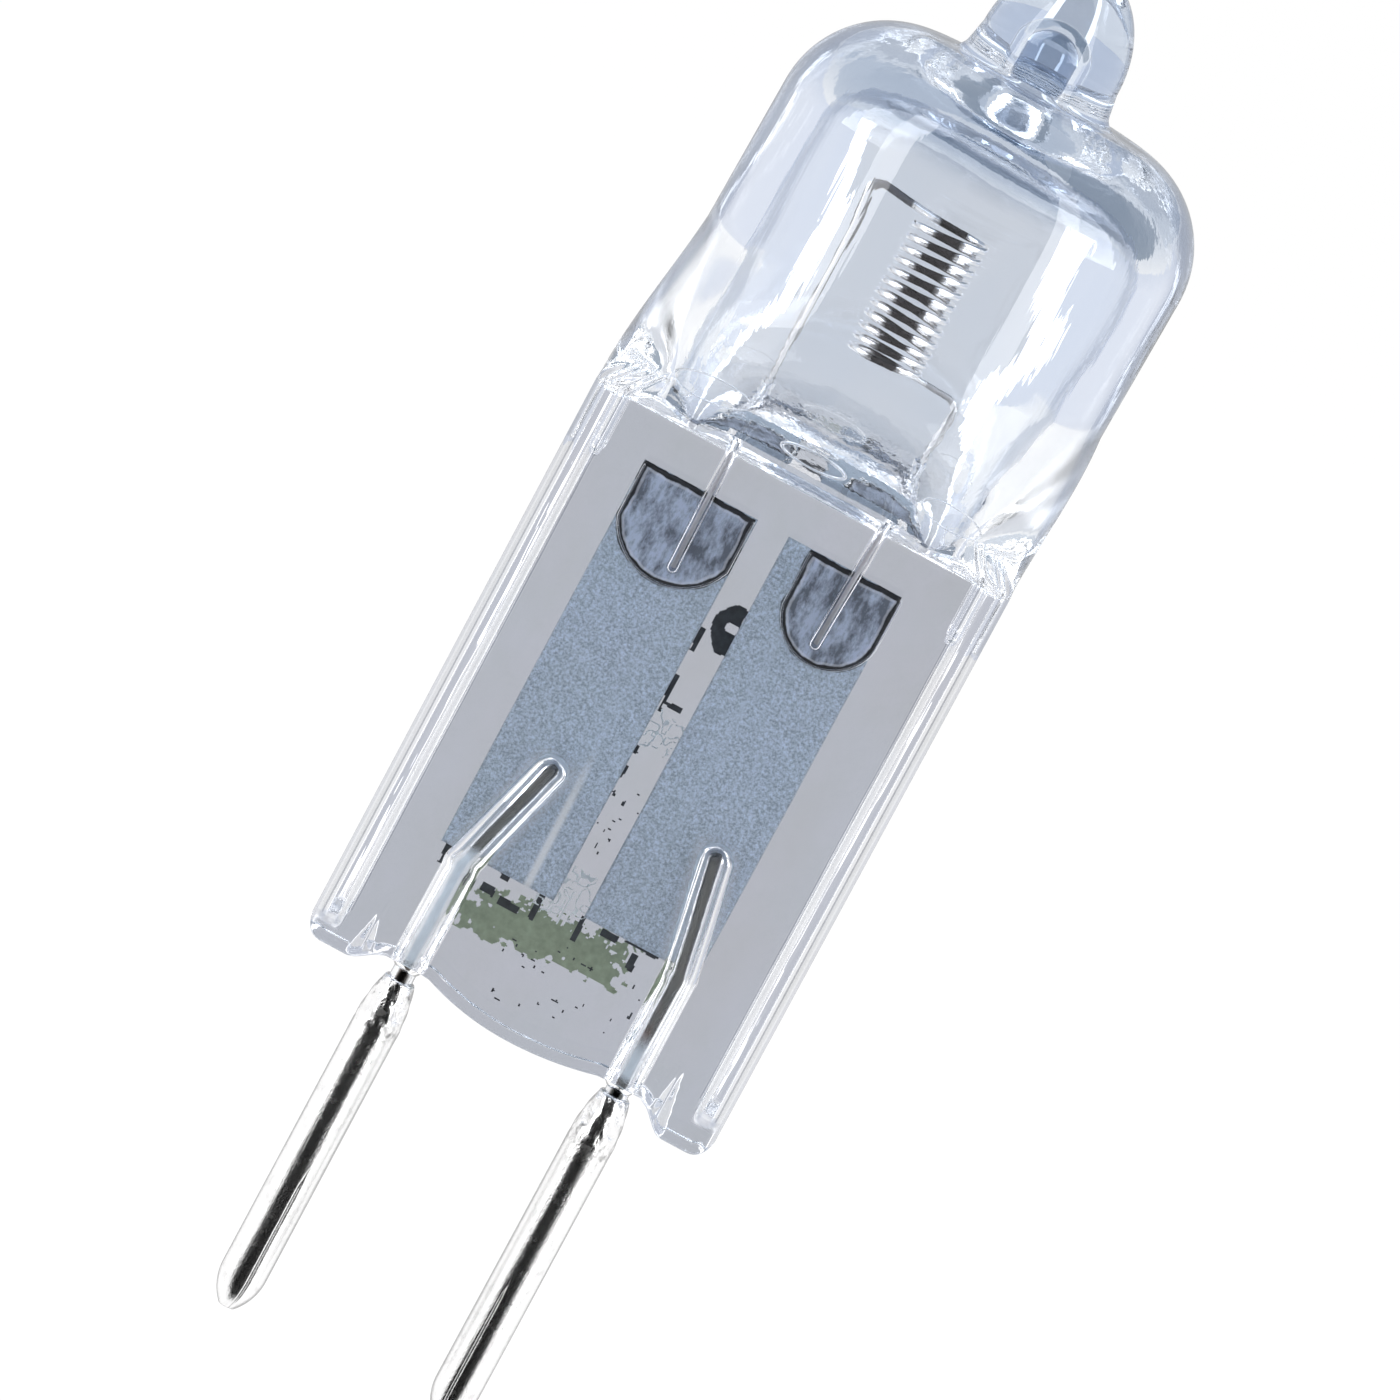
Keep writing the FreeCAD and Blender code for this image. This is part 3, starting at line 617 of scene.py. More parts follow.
def around(quarter, x_sign=1, y_sign=1):
    """A quarter's values repeated round the ring, from +X over +Y, with their signs at -X and at -Y."""
    upper = np.concatenate([quarter[::-1], x_sign * quarter[1:]])
    return np.concatenate([upper, y_sign * upper[::-1][1:-1]])


class Columns:
    """The columns that run the whole length of the quartz, from its foot to its tip."""

    def __init__(self, sizes):
        x, depth, out_x, out_y = press_columns(sizes)
        self.x = around(x, x_sign=-1)
        self.web = around(depth, y_sign=-1)
        self.out = np.column_stack([around(out_x, x_sign=-1), around(out_y, y_sign=-1)])
        self.rail = around(rail_depth(x, depth, sizes) - depth, y_sign=-1)
        self.head = around(head_depth(x, depth) - depth, y_sign=-1)
        power = 2.5
        self.pressed = self.spread(np.arctan2((depth / sizes.web_half) ** power,
                                              (x / sizes.press_half) ** power))
        self.even = self.spread(np.linspace(QUARTER, 0.0, len(x)))

    @staticmethod
    def spread(quarter):
        """Angles of a quarter, carried on round the whole ring."""
        upper = np.concatenate([quarter[::-1], math.pi - quarter[1:]])
        return np.concatenate([upper, 2 * math.pi - upper[::-1][1:-1]])


def superellipse(turn, half_x, half_y, power):
    cosine, sine = np.cos(turn), np.sin(turn)
    x = half_x * np.sign(cosine) * np.abs(cosine) ** (2 / power)
    y = half_y * np.sign(sine) * np.abs(sine) ** (2 / power)
    return x, y


def on_bulb(x, y, height, rise, blend, sizes):
    """Points of a ring moved on to the bulb's own shifted and leaning axis."""
    lean = math.radians(sizes.lean) * blend
    z = rise * math.cos(lean) - x * math.sin(lean)
    moved = x * math.cos(lean) + rise * math.sin(lean) + sizes.shift * blend
    return np.stack([moved, y, height + z], axis=1)


def flare_ring(columns, step, foot, half_x, half_y, radius, sizes):
    """One ring between a flat slot and the round bulb."""
    belly = 1 - (1 - step) ** 2
    power = 5 + (2 - 5) * belly
    width = half_x + (radius - half_x) * step ** 2
    depth = half_y + (radius - half_y) * belly
    share = smoothstep(step, 0.0, 1.0)
    turn = columns.pressed * (1 - share) + columns.even * share
    x, y = superellipse(turn, width, depth, power)
    height = foot + step * (sizes.bulb_foot - foot)
    return on_bulb(x, y, height, 0.0, share, sizes)


def pull_groove(x, z):
    """Depth of the tapered grooves in the front face of the press."""
    depth = np.zeros_like(x)
    for middle, length, foot in ((-4.42, 1.45, 1.6), (4.36, 1.95, 1.25)):
        rise = np.clip(1 - (z - foot) / length, 0.0, 1.0)
        half = 0.36 * rise + 1e-4
        across = np.clip(1 - np.abs(x - middle) / half, 0.0, 1.0)
        depth += 0.36 * across * np.minimum(rise * 1.5, 1.0)
    return depth


def press_rings(columns, sizes):
    """Rings from the middle of the foot, round its edge and up to the top of the press."""
    foot = sizes.neck + foot_line(columns.x)
    fillet = 0.07
    transition, top = sizes.neck + 1.9, sizes.press_top
    face = np.column_stack([columns.x, columns.web])
    inner = face - columns.out * fillet
    rings = [np.column_stack([inner[:, 0], inner[:, 1] * share, foot - 0.04 * (1 - share)])
             for share in (0.0, 0.3, 0.6, 0.85)]
    for angle in np.linspace(QUARTER, 0.0, 8):
        inset = fillet * (1 - math.cos(angle))
        rings.append(np.column_stack([face - columns.out * inset, foot + fillet * (1 - math.sin(angle))]))
    start = foot + fillet
    low = [start + (transition - start) * share for share in turned(1.0, 28)]
    spans = ((transition, top - 1.9, 26), (top - 1.9, top - 1.3, 12), (top - 1.3, top, 9))
    high = [np.full_like(foot, height) for span in spans for height in np.linspace(*span)[1:]]
    return rings + [press_ring(columns, z, sizes) for z in low + high]


def press_ring(columns, z, sizes):
    """One ring of the press, with its rails, their heads and the pull marks."""
    past_foot = z - sizes.neck - sizes.rail_foot - 0.25 * (1 - np.sqrt(np.maximum(
        0.0, 1 - ((np.abs(columns.x) - sizes.rail_centre) / 0.4) ** 2)))
    rail = smoothstep(past_foot, 0.0, 0.5)
    head = smoothstep(z, sizes.press_top - 1.72, sizes.press_top - 1.5)
    raised = np.sign(columns.web) * np.maximum(np.abs(columns.rail) * rail, np.abs(columns.head) * head)
    groove = np.where(columns.web < 0, pull_groove(columns.x, z), 0.0)
    return np.column_stack([columns.x, columns.web + raised + groove, z])


def outer_rings(columns, sizes):
    """Rings of the outside, from the foot of the press to the tip."""
    rings = press_rings(columns, sizes)
    top = sizes.press_top
    flare = (top, sizes.press_half, sizes.web_half, sizes.bulb_radius, sizes)
    extra = rings[-1] - flare_ring(columns, 0.0, *flare)
    runout = np.where(np.abs(columns.x) > 4.9, 1.3, 0.35)
    for step in np.linspace(0.0, 1.0, 56)[1:] ** 1.9:
        ring = flare_ring(columns, step, *flare)
        fade = 1 - smoothstep(ring[:, 2], top, top + runout)
        rings.append(ring + extra * fade[:, None])
    return rings + [round_ring(columns.even, radius, radius, rise, sizes)
                    for radius, rise in outer_profile(sizes)]


def round_ring(turn, radius, reach, rise, sizes):
    """Ring over the flare, as far out as reach says; the tip and its bore stand a little to the left."""
    x = reach * np.cos(turn) - MOUTH_SHIFT * (1 - smoothstep(radius, 2.0, 2.9))
    return on_bulb(x, reach * np.sin(turn), sizes.bulb_foot, rise, 1.0, sizes)


def outer_profile(sizes):
    """Radius and rise of the bulb's outside above the flare: wall, shoulder, crown, tip."""
    shoulder_rise = sizes.shoulder_rise
    big, arc = sizes.bulb_radius, sizes.shoulder
    profile = [(big, rise) for rise in np.linspace(0.0, shoulder_rise, 9)[1:]]
    for turn in turned(QUARTER, 26):
        profile.append((big - arc * (1 - math.cos(turn)), shoulder_rise + arc * math.sin(turn)))
    crown = shoulder_rise + arc
    base, fillet = 2.05, 0.4
    for turn in np.linspace(0.0, 1.35, 9):
        profile.append((base + fillet * (1 - math.sin(turn)), crown + fillet * (1 - math.cos(turn))))
    skirt = crown + 0.9
    end_radius, end_length = 1.95, 2.6
    profile += straight(profile[-1], (end_radius, skirt), 5)
    for turn in turned(QUARTER, 24):
        profile.append((end_radius * math.cos(turn), skirt + end_length * math.sin(turn)))
    return profile


def inner_profile(sizes):
    """Radius and rise of the cavity above the flare: wall, shoulder, ceiling, mouth and bore."""
    big, arc = sizes.bulb_radius - sizes.wall, sizes.shoulder - sizes.wall
    ceiling = sizes.shoulder_rise + sizes.shoulder - sizes.crown_wall
    start = ceiling - arc
    profile = [(big, rise) for rise in np.linspace(0.0, start, 12)[1:]]
    for turn in turned(QUARTER, 16):
        profile.append((big - arc * (1 - math.cos(turn)), start + arc * math.sin(turn)))
    mouth, bore, throat = 2.1, 0.725, 1.0
    for turn in turned(QUARTER, 14):
        profile.append((mouth - (mouth - bore) * math.sin(turn), ceiling + throat * (1 - math.cos(turn))))
    end = ceiling + 3.1 - bore
    profile += straight((bore, ceiling + throat), (bore, end), 6)
    for turn in turned(QUARTER, 12):
        profile.append((bore * math.cos(turn), end + bore * math.sin(turn)))
    return profile


def straight(start, end, steps):
    """Places on a straight line of a profile, without its start."""
    return [(start[0] + (end[0] - start[0]) * share, start[1] + (end[1] - start[1]) * share)
            for share in turned(1.0, steps)]


def cavity_rings(columns, sizes):
    """Rings of the inside, from the slot in the flare to the end of the bore."""
    foot = sizes.press_top + sizes.cavity_gap
    slot = (foot, sizes.cavity_half, 0.35, sizes.bulb_radius - sizes.wall, sizes)
    rings = [flare_ring(columns, 0.0, *slot) * (1, share, 1) for share in (0.0, 0.5, 0.85)]
    rings += [flare_ring(columns, step, *slot) for step in np.linspace(0.0, 1.0, 44) ** 1.9]
    for ring in rings:
        dip = 0.45 * np.exp(-((np.abs(ring[:, 0] - 0.1) - 3.4) / 0.7) ** 2)
        ring[:, 2] -= dip * (1 - smoothstep(ring[:, 2], foot - 0.1, foot + 1.3))
    turn = columns.even
    for radius, rise in inner_profile(sizes):
        uneven = 1 + 0.006 * np.sin(3 * turn + 0.7 * rise) + 0.004 * np.sin(5 * turn - 1.3 * rise)
        rings.append(round_ring(turn, radius, radius * uneven, rise, sizes))
    return [ring[::2] for ring in rings]


def lead_path(side, sizes, foot):
    """Centre line of an outer lead from a height up to its end on the foil."""
    x = side * sizes.pin_half_pitch
    corners = [(x, 0, foot), (x, 0, sizes.neck + LEAD_BEND), (LEAD_END_X[side], 0, sizes.neck + LEAD_END)]
    return rounded(corners, [2.5], 0.15)


def leg_lines(side, sizes):
    """Corners of a filament leg: foot on the foil, knee, top and the coil's end."""
    leg_y = sizes.foil_front - sizes.wire_radius + 0.01
    foot_x, knee_x, top_x = LEG_X[side]
    turns = COIL_TURNS if side < 0 else 0
    end = np.array([COIL_X, sizes.coil_radius, sizes.neck + COIL_FOOT + turns * sizes.coil_pitch])
    slope = sizes.coil_pitch / (2 * math.pi * sizes.coil_radius)
    top = np.array([top_x, end[1], end[2] - (top_x - end[0]) * slope])
    return [np.array([foot_x, leg_y, sizes.neck + LEG_FOOT]),
            np.array([knee_x, leg_y, sizes.neck + LEG_KNEE]), top, end]


def hollow_skins(sizes):
    """Gaps round the sealed metal and flaws of the glass, as closed skins that face inwards."""
    skins = []
    for side in (-1, 1):
        seat = sizes.neck + float(foot_line(np.array([side * sizes.pin_half_pitch]))[0])
        channel, faces = capped_tube(lead_path(side, sizes, seat + 0.05), 0.5, 32, True, 6)
        channel[:, 0] += 0.03 * np.sin(channel[:, 2] * 7.3 + side) * np.sin(channel[:, 2] * 2.9)
        channel[:, 1] += 0.03 * np.sin(channel[:, 2] * 11.0 + channel[:, 0] * 9.0)
        skins.append((channel, faces))
        foot, knee = leg_lines(side, sizes)[:2]
        stop = knee + unit(knee - foot) * (sizes.press_top + sizes.cavity_gap - 0.25 - knee[2])
        skins.append(capped_tube([foot, (foot + knee) / 2, knee, stop], 0.17, 20, True))
        skins.append(weld_outline(side, sizes))
    for ring in ((-0.1, 1.0, 0.9, 0.24, 0.0, 0.06), (0.0, 1.38, 0.42, 0.05, 0.0, 0.04),
                 (-3.2, 1.4, 1.05, 0.36, 0.1, 0.03), (3.65, 1.4, 0.85, 0.34, -0.1, 0.03)):
        skins.append(ring_gap(*ring, sizes))
    return skins


def ring_gap(middle, height, half_x, half_z, slope, radius, sizes):
    """Hair-thin gap in the shape of a ring, just under the skin where the press opens into the bulb."""
    turn = np.linspace(0.0, 2 * math.pi - 0.12, 60)
    x = middle + half_x * np.cos(turn)
    rise = height + half_z * np.sin(turn) + slope * (x - middle)
    belly = 1 - (1 - rise / sizes.flare) ** 2
    power = 5 - 3 * belly
    round_off = (1 - (np.abs(x) / sizes.press_half) ** power) ** (1 / power)
    y = -(sizes.web_half + (sizes.bulb_radius - sizes.web_half) * belly) * round_off + 0.12 + radius
    return capped_tube(np.column_stack([x, y, sizes.press_top + rise]), radius, 10, True, 3)


def weld_outline(side, sizes):
    """Hair-thin gap along the edge of the zone round a weld."""
    middle, half = WELD_ZONE[side]
    radius = arc_radius(half, WELD_BELLY)
    centre_z = WELD_TOP - WELD_LENGTH + radius
    reach = math.asin(half / radius)
    y = sizes.foil_front - 0.06
    arc = [(middle + radius * math.sin(angle), y, centre_z - radius * math.cos(angle))
           for angle in np.linspace(-reach, reach, 40)]
    points = [(middle - half, y, WELD_TOP - 0.08), *arc, (middle + half, y, WELD_TOP - 0.08)]
    return capped_tube(points, 0.035, 10, True, 3)


# Operators

def lamp(context):
    return context.scene.lamp_sizes, context.scene.lamp_colours


def add_piece(name, skin_data, finish, node):
    piece = placed_object(name, *skin_data, finish)
    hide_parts(node)
    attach(piece, "root")


class LAMP_OT_quartz(bpy.types.Operator):
    """Builds the quartz: press, bulb, tip, and the hollows inside it."""

    bl_idname = "lamp.quartz"
    bl_label = "Quartz"

    def execute(self, context):
        sizes, colours = lamp(context)
        columns = Columns(sizes)
        skins = [skin(outer_rings(columns, sizes)), skin(cavity_rings(columns, sizes), True)]
        add_piece("quartz_envelope", merge(skins + hollow_skins(sizes)), quartz_finish(sizes, colours),
                  "glass_envelope")
        return {"FINISHED"}


class LAMP_OT_filament(bpy.types.Operator):
    """Builds the coil and its two legs as one wire."""

    bl_idname = "lamp.filament"
    bl_label = "Filament"

    def execute(self, context):
        sizes, colours = lamp(context)
        turns = np.linspace(0, COIL_TURNS, COIL_TURNS * 40 + 1)
        coil = np.column_stack([COIL_X - sizes.coil_radius * np.sin(2 * math.pi * turns),
                                sizes.coil_radius * np.cos(2 * math.pi * turns),
                                sizes.neck + COIL_FOOT + turns * sizes.coil_pitch])
        right = rounded(leg_lines(1, sizes), [1.2, 0.35], 0.05)
        left = rounded(leg_lines(-1, sizes), [1.2, 0.35], 0.05)
        path = np.vstack([right[:-1], coil, left[:-1][::-1]])
        add_piece("filament_wire", tube(path, sizes.wire_radius, 14), tungsten_finish(sizes, colours),
                  "filament")
        return {"FINISHED"}


class LAMP_OT_foils(bpy.types.Operator):
    """Builds the two foils with feathered edges and the faint waves of rolled strip."""

    bl_idname = "lamp.foils"
    bl_label = "Foils"

    def execute(self, context):
        sizes, colours = lamp(context)
        for side, name in ((-1, "left"), (1, "right")):
            add_piece("foil_strip_" + name, foil_skin(FOIL_X[side], sizes),
                      foil_finish(sizes, colours, side), name + "_foil")
        return {"FINISHED"}


def foil_skin(middle, sizes):
    """Skin of a foil: a thin lens-edged strip."""
    half, feather, thick = 1.65, 0.35, 0.015
    across = np.concatenate([np.linspace(-half, -half + feather, 6),
                             np.linspace(-half + feather, half - feather, 22)[1:],
                             np.linspace(half - feather, half, 6)[1:]])
    thickness = thick * np.clip((half - np.abs(across)) / feather, 0.0, 1.0)
    y = sizes.foil_front + thick
    rings = []
    heights = np.linspace(sizes.neck + FOIL_FOOT, sizes.neck + FOIL_TOP, 60)
    for index, height in enumerate([heights[0], *heights, heights[-1]]):
        closed = index in (0, len(heights) + 1)
        depth = thickness * (0.0 if closed else 1.0)
        wave = 0.004 * np.sin(across * 3.1 + height * 0.4) + 0.003 * np.sin(across * 7.3 - height * 1.1)
        level = np.full_like(across, height)
        front = np.column_stack([middle + across, y + wave - depth, level])
        back = np.column_stack([middle + across, y + wave + depth, level])[::-1]
        rings.append(np.vstack([front, back[1:-1]]))
    return skin(rings)


class LAMP_OT_leads(bpy.types.Operator):
    """Builds the two outer leads, from inside the pins to their welds on the foils."""

    bl_idname = "lamp.leads"
    bl_label = "Leads"

    def execute(self, context):
        sizes, colours = lamp(context)
        finish = lead_finish(sizes, colours)
        for side, name in ((-1, "left_lead"), (1, "right_lead")):
            points, faces = capped_tube(lead_path(side, sizes, -3.25), sizes.lead_radius, 28, False, 4)
            flat = np.minimum(points[:, 1], sizes.foil_front)
            points[:, 1] = np.where(points[:, 2] > sizes.neck + FOIL_FOOT, flat, points[:, 1])
            add_piece(name + "_wire", (points, faces), finish, name)
        return {"FINISHED"}


def pin_profile(sizes):
    """Radius and height of a pin: nose, sleeve and collar."""
    radius, length, bore = sizes.pin_radius, sizes.pin_length, sizes.lead_radius + 0.01
    nose, flat = 1.05, 0.225
    profile = [(0.0, -length), (flat * 0.6, -length), (flat * 0.9, -length + 0.01)]
    heights = nose * np.cos(np.linspace(0.12, QUARTER, 16))
    profile += [(rounded_off(radius, flat, nose, height), nose - length - height) for height in heights]
    profile += [(radius, height) for height in np.linspace(nose - length, 0.0, 40)[1:]]
    profile += [(rounded_off(radius, COLLAR_RIM, COLLAR_HEIGHT, height), height)
                for height in turned(COLLAR_HEIGHT, 26)]
    return profile + [(COLLAR_RIM - 0.03, COLLAR_HEIGHT + 0.02), (bore, COLLAR_HEIGHT),
                      (bore, COLLAR_HEIGHT - 0.3), (0.0, COLLAR_HEIGHT - 0.3)]


def rounded_off(radius, rim, length, height):
    """Radius of a pin at a height on the arc that narrows it to a rim."""
    big = arc_radius(length, radius - rim)
    return radius - (big - math.sqrt(big ** 2 - height ** 2))


class LAMP_OT_pins(bpy.types.Operator):
    """Builds the two contact pins: rolled sleeves with a seam and a crimped collar."""

    bl_idname = "lamp.pins"
    bl_label = "Pins"

    def execute(self, context):
        sizes, colours = lamp(context)
        finish = nickel_finish(colours)
        for side, seam, name in ((-1, -68.0, "left_pin"), (1, -102.0, "right_pin")):
            add_piece(name + "_sleeve", pin_skin(side, math.radians(seam), sizes), finish, name)
        return {"FINISHED"}


def pin_skin(side, seam, sizes):
    """Skin of a pin, with its open seam, crimp dents and rippled collar."""
    beside = np.array([0.03, 0.045, 0.07, 0.12])
    turn = seam + np.concatenate([-beside[::-1], [0.0], beside, np.linspace(0.2, 2 * math.pi - 0.2, 84)])
    away = np.abs((turn - seam + math.pi) % (2 * math.pi) - math.pi)
    rings = []
    for radius, height in pin_profile(sizes):
        open_seam = 1 - smoothstep(height, -sizes.pin_length + 3.6, -sizes.pin_length + 4.2)
        reach = radius - 0.10 * open_seam * np.clip(1 - away / 0.05, 0.0, 1.0) * (radius > 0.1)
        if radius > 0.4:
            crimp = 0.045 * smoothstep(height, 0.35, 0.55) * (1 - smoothstep(height, 1.05, 1.25))
            reach -= crimp * np.maximum(0.0, np.cos(4 * (turn - 0.79))) ** 0.7
            reach += 0.008 * smoothstep(height, -0.5, 0.2) * np.sin(9 * turn + 11 * height)
        rings.append(np.column_stack([side * sizes.pin_half_pitch + reach * np.cos(turn),
                                      reach * np.sin(turn), np.full_like(turn, height)]))
    return skin(rings)


class LAMP_OT_marks(bpy.types.Operator):
    """Builds the worn print on the back of the press as plain fields and strokes."""

    bl_idname = "lamp.marks"
    bl_label = "Printed marks"

    def execute(self, context):
        sizes, colours = lamp(context)
        stain = flakes(sizes, (-2.9, 2.1), (1.7, 3.6), 0.04, stain_field, 0.012)
        ink = flakes(sizes, (-4.0, 2.7), (0.3, 14.9), 0.04, ink_field, 0.02)
        crackle = flakes(sizes, (-1.2, 0.5), (2.8, 9.6), 0.03, crackle_field, 0.028)
        for name, cells, finish in (
                ("back_crackle", crackle, print_finish("print_pale", PRINT_PALE, 0.2)),
                ("back_stain", stain, print_finish("print_stain", colours.stain, 0.35)),
                ("back_ink", ink, print_finish("print_ink", colours.ink, 0.8))):
            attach(placed_object(name, *cells, finish, False), "root")
        return {"FINISHED"}


def value_noise(x, z, scale, seed):
    """Smooth random field from 0 to 1, the same on each run."""
    grid = np.random.default_rng(seed).random((64, 64))
    u, v = x * scale + 17.0, z * scale + 9.0
    i, j = np.floor(u).astype(int), np.floor(v).astype(int)
    a, b = smoothstep(u - i, 0, 1), smoothstep(v - j, 0, 1)
    low, high = [grid[i % 64, (j + n) % 64] * (1 - a) + grid[(i + 1) % 64, (j + n) % 64] * a for n in (0, 1)]
    return low * (1 - b) + high * b


def stain_field(x, z):
    """Where the worn print still sticks: a ragged field under the foils."""
    edge = 1 - np.maximum(np.abs((x + 0.45) / 2.35) ** 3, np.abs((z - 2.65 - 0.12 * x) / 0.72) ** 3)
    ragged = (value_noise(x, z, 1.8, 5) - 0.5) * 0.9 + (value_noise(x, z, 6.5, 6) - 0.5) * 0.9
    ragged += (value_noise(x, z, 14.0, 7) - 0.5) * 1.3 * smoothstep(z, 2.4, 3.2)
    return edge + ragged > 0.25


# Start and end in X and in height of each plain bar of ink
INK_BARS = (
    (-0.64, -0.48, 11.0, 11.7), (-0.62, -0.52, 9.2, 10.3), (-0.6, -0.05, 9.42, 9.56),
    (-0.68, -0.56, 7.95, 8.2), (-0.66, -0.56, 7.2, 7.6), (-3.8, -3.5, 2.95, 3.6), (-2.5, -2.1, 2.85, 3.1),
    (-2.2, -1.9, 3.35, 3.6), (-1.05, -0.88, 2.8, 3.6), (0.2, 0.34, 2.85, 3.55), (0.85, 1.3, 3.3, 3.5),
    (1.5, 2.5, 3.45, 3.6), (1.8, 2.0, 2.85, 3.3), (-1.9, -1.3, 2.75, 2.95))


def ink_field(x, z):
    """Plain dark patches between and under the foils, and loose specks."""
    wobble = (value_noise(x, z, 3.5, 8) - 0.5) * 0.5
    patch = np.hypot((x - 0.02) / 0.42, (z - 12.0) / 0.62) + wobble * 1.3
    spot = np.hypot((x - 0.1) / 0.2, (z - 12.02) / 0.13)
    marks = (patch < 1) & (spot > 1) & (x > -0.62)
    for start, end, low, high in INK_BARS:
        inside = np.minimum(np.minimum(x - start, end - x), np.minimum(z - low, high - z))
        marks |= inside + wobble * 0.12 > 0
    specks = (value_noise(x, z, 7.5, 12) > 0.90) & (np.abs(x - 0.7) < 1.9) & (z < 2.6) & (z > 0.5)
    thin = (value_noise(x, z, 8.5, 13) > 0.90) & (np.abs(x + 0.15) < 0.5) & (z > 4.6) & (z < 7.2)
    return marks | specks | thin


def crackle_field(x, z):
    """Fine pale cracks in what is left of the print between the foils."""
    cracks = np.minimum(np.abs(value_noise(x, z, 4.2, 21) - 0.5),
                        np.abs(value_noise(x, z, 5.1, 22) - 0.47))
    low = (x > -1.1) & (x < 0.3) & (z > 3.0) & (z < 4.6)
    high = (x > -0.62) & (x < 0.28) & (z > 8.2) & (z < 9.3)
    return (cracks < 0.035) & (low | high)


def flakes(sizes, span_x, span_z, cell, field, depth):
    """Thin flat cells on the back face of the press wherever a field is true."""
    x = np.arange(span_x[0], span_x[1], cell)
    z = np.arange(span_z[0], span_z[1], cell)
    middle_x, middle_z = np.meshgrid(x + cell / 2, z + cell / 2)
    inside = field(middle_x, middle_z) & (middle_z > foot_line(middle_x) + 0.35)
    y = sizes.web_half - depth
    points, faces, known = [], [], {}

    def corner(i, j):
        if (i, j) not in known:
            known[(i, j)] = len(points)
            points.append((x[0] + i * cell, y, sizes.neck + z[0] + j * cell))
        return known[(i, j)]

    for j, i in zip(*np.nonzero(inside)):
        faces.append((corner(i, j), corner(i, j + 1), corner(i + 1, j + 1), corner(i + 1, j)))
    return np.array(points), faces


# Studio

def add_stage(name, points, faces, finish):
    made = placed_object(name, points, faces, finish, False)
    return made


def glow_finish(name, colour, strength):
    graph = material(name)
    return graph.finish(graph.node("ShaderNodeEmission", {}, {"Color": (*colour, 1.0), "Strength": strength}))


def floor_finish():
    """Pale floor that reads white where nothing shades it."""
    graph = material("studio_floor")
    paths = graph.node("ShaderNodeLightPath").socket.node.outputs
    seen = Value(graph, paths["Is Camera Ray"]).most(Value(graph, paths["Is Glossy Ray"]))
    seen = seen.most(Value(graph, paths["Is Transmission Ray"]))
    matt = graph.node("ShaderNodeBsdfDiffuse", {}, {"Color": (0.9, 0.9, 0.9, 1.0)})
    lift = graph.node("ShaderNodeEmission", {}, {"Color": (1.0, 1.0, 1.0, 1.0), "Strength": seen * 0.1})
    return graph.finish(graph.node("ShaderNodeAddShader", {}, {0: matt, 1: lift}))


def panel(name, azimuths, elevations, finish, floor, rays, distance=90.0):
    """Part of a dome round the lamp that only the named rays meet. Azimuth 0 lies behind the lamp; what
    would dip under the floor lies on it."""
    centre = np.array([0.0, 0.0, 12.0])
    cells = 12
    points = []
    for elevation in np.radians(np.linspace(*elevations, cells + 1)):
        for azimuth in np.radians(np.linspace(*azimuths, cells + 1)):
            way = np.array([math.cos(elevation) * math.sin(azimuth),
                            math.cos(elevation) * math.cos(azimuth), math.sin(elevation)])
            reach = distance
            if way[2] < 0:
                reach = min(reach, (floor + 0.3 - centre[2]) / way[2])
            points.append(centre + way * reach)
    row = cells + 1
    faces = [(start, start + 1, start + 1 + row, start + row)
             for start in (line * row + column for line in range(cells) for column in range(cells))]
    made = add_stage(name, points, faces, finish)
    for way in ("camera", "diffuse", "glossy", "transmission", "volume_scatter", "shadow"):
        setattr(made, "visible_" + way, way in rays)


def panels(studio, floor):
    """Panels that shape what quartz and metal show."""
    glows = {name: glow_finish(name, tint, strength) for name, tint, strength in (
        ("panel_front", WHITE, studio.front_glow), ("panel_side", WHITE, studio.side_glow),
        ("panel_side_middle", WHITE, studio.side_glow * 0.22),
        ("panel_side_low", WHITE, studio.side_glow * 0.45), ("panel_back", WHITE, studio.back_glow),
        ("panel_blue", (0.74, 0.86, 1.0), studio.blue_glow), ("card_grey", WHITE, 0.5),
        ("card_back", (0.72, 0.74, 0.78), 1.0), ("card_light", (0.80, 0.84, 0.93), 1.0),
        ("card_dark", (0.0, 0.0, 0.0), 0.0), ("panel_pale", (0.86, 0.92, 1.0), studio.blue_glow * 1.7))}
    metal, glass, both = ("glossy",), ("transmission",), ("glossy", "transmission")
    pieces = []
    for side, name in ((-1, "left"), (1, "right")):
        pieces.append(("panel_front_" + name, (side * 125, side * 139), (-14, 50), "panel_front", metal))
        for part, heights, finish in (("high", (17, 75), "panel_side"),
                                      ("middle", (-9, 17), "panel_side_middle"),
                                      ("low", (-60, -9), "panel_side_low")):
            pieces.append(("panel_" + part + "_" + name, (side * 80, side * 122), heights, finish, glass))
    pieces += [
        ("panel_back_left", (-13.4, -10.2), (-40, 18), "panel_back", glass),
        ("panel_back_right", (8.4, 12.5), (-40, 18), "panel_back", glass),
        ("card_light_left", (-62, -13.4), (-5, 22), "card_light", glass),
        ("card_light_right", (12.5, 62), (-5, 22), "card_light", glass),
        ("card_back", (-10.2, 8.4), (-75, 18), "card_back", glass),
        ("panel_blue", (-8, 60), (28, 65), "panel_blue", both),
        ("panel_pale", (-60, -8), (28, 65), "panel_pale", both),
        ("card_grey", (-45, 45), (-75, 25), "card_grey", metal, 110.0),
        ("card_dark", (139, 221), (-80, 75), "card_dark", metal)]
    for name, azimuths, elevations, finish, rays, *distance in pieces:
        panel(name, azimuths, elevations, glows[finish], floor, rays, *distance)


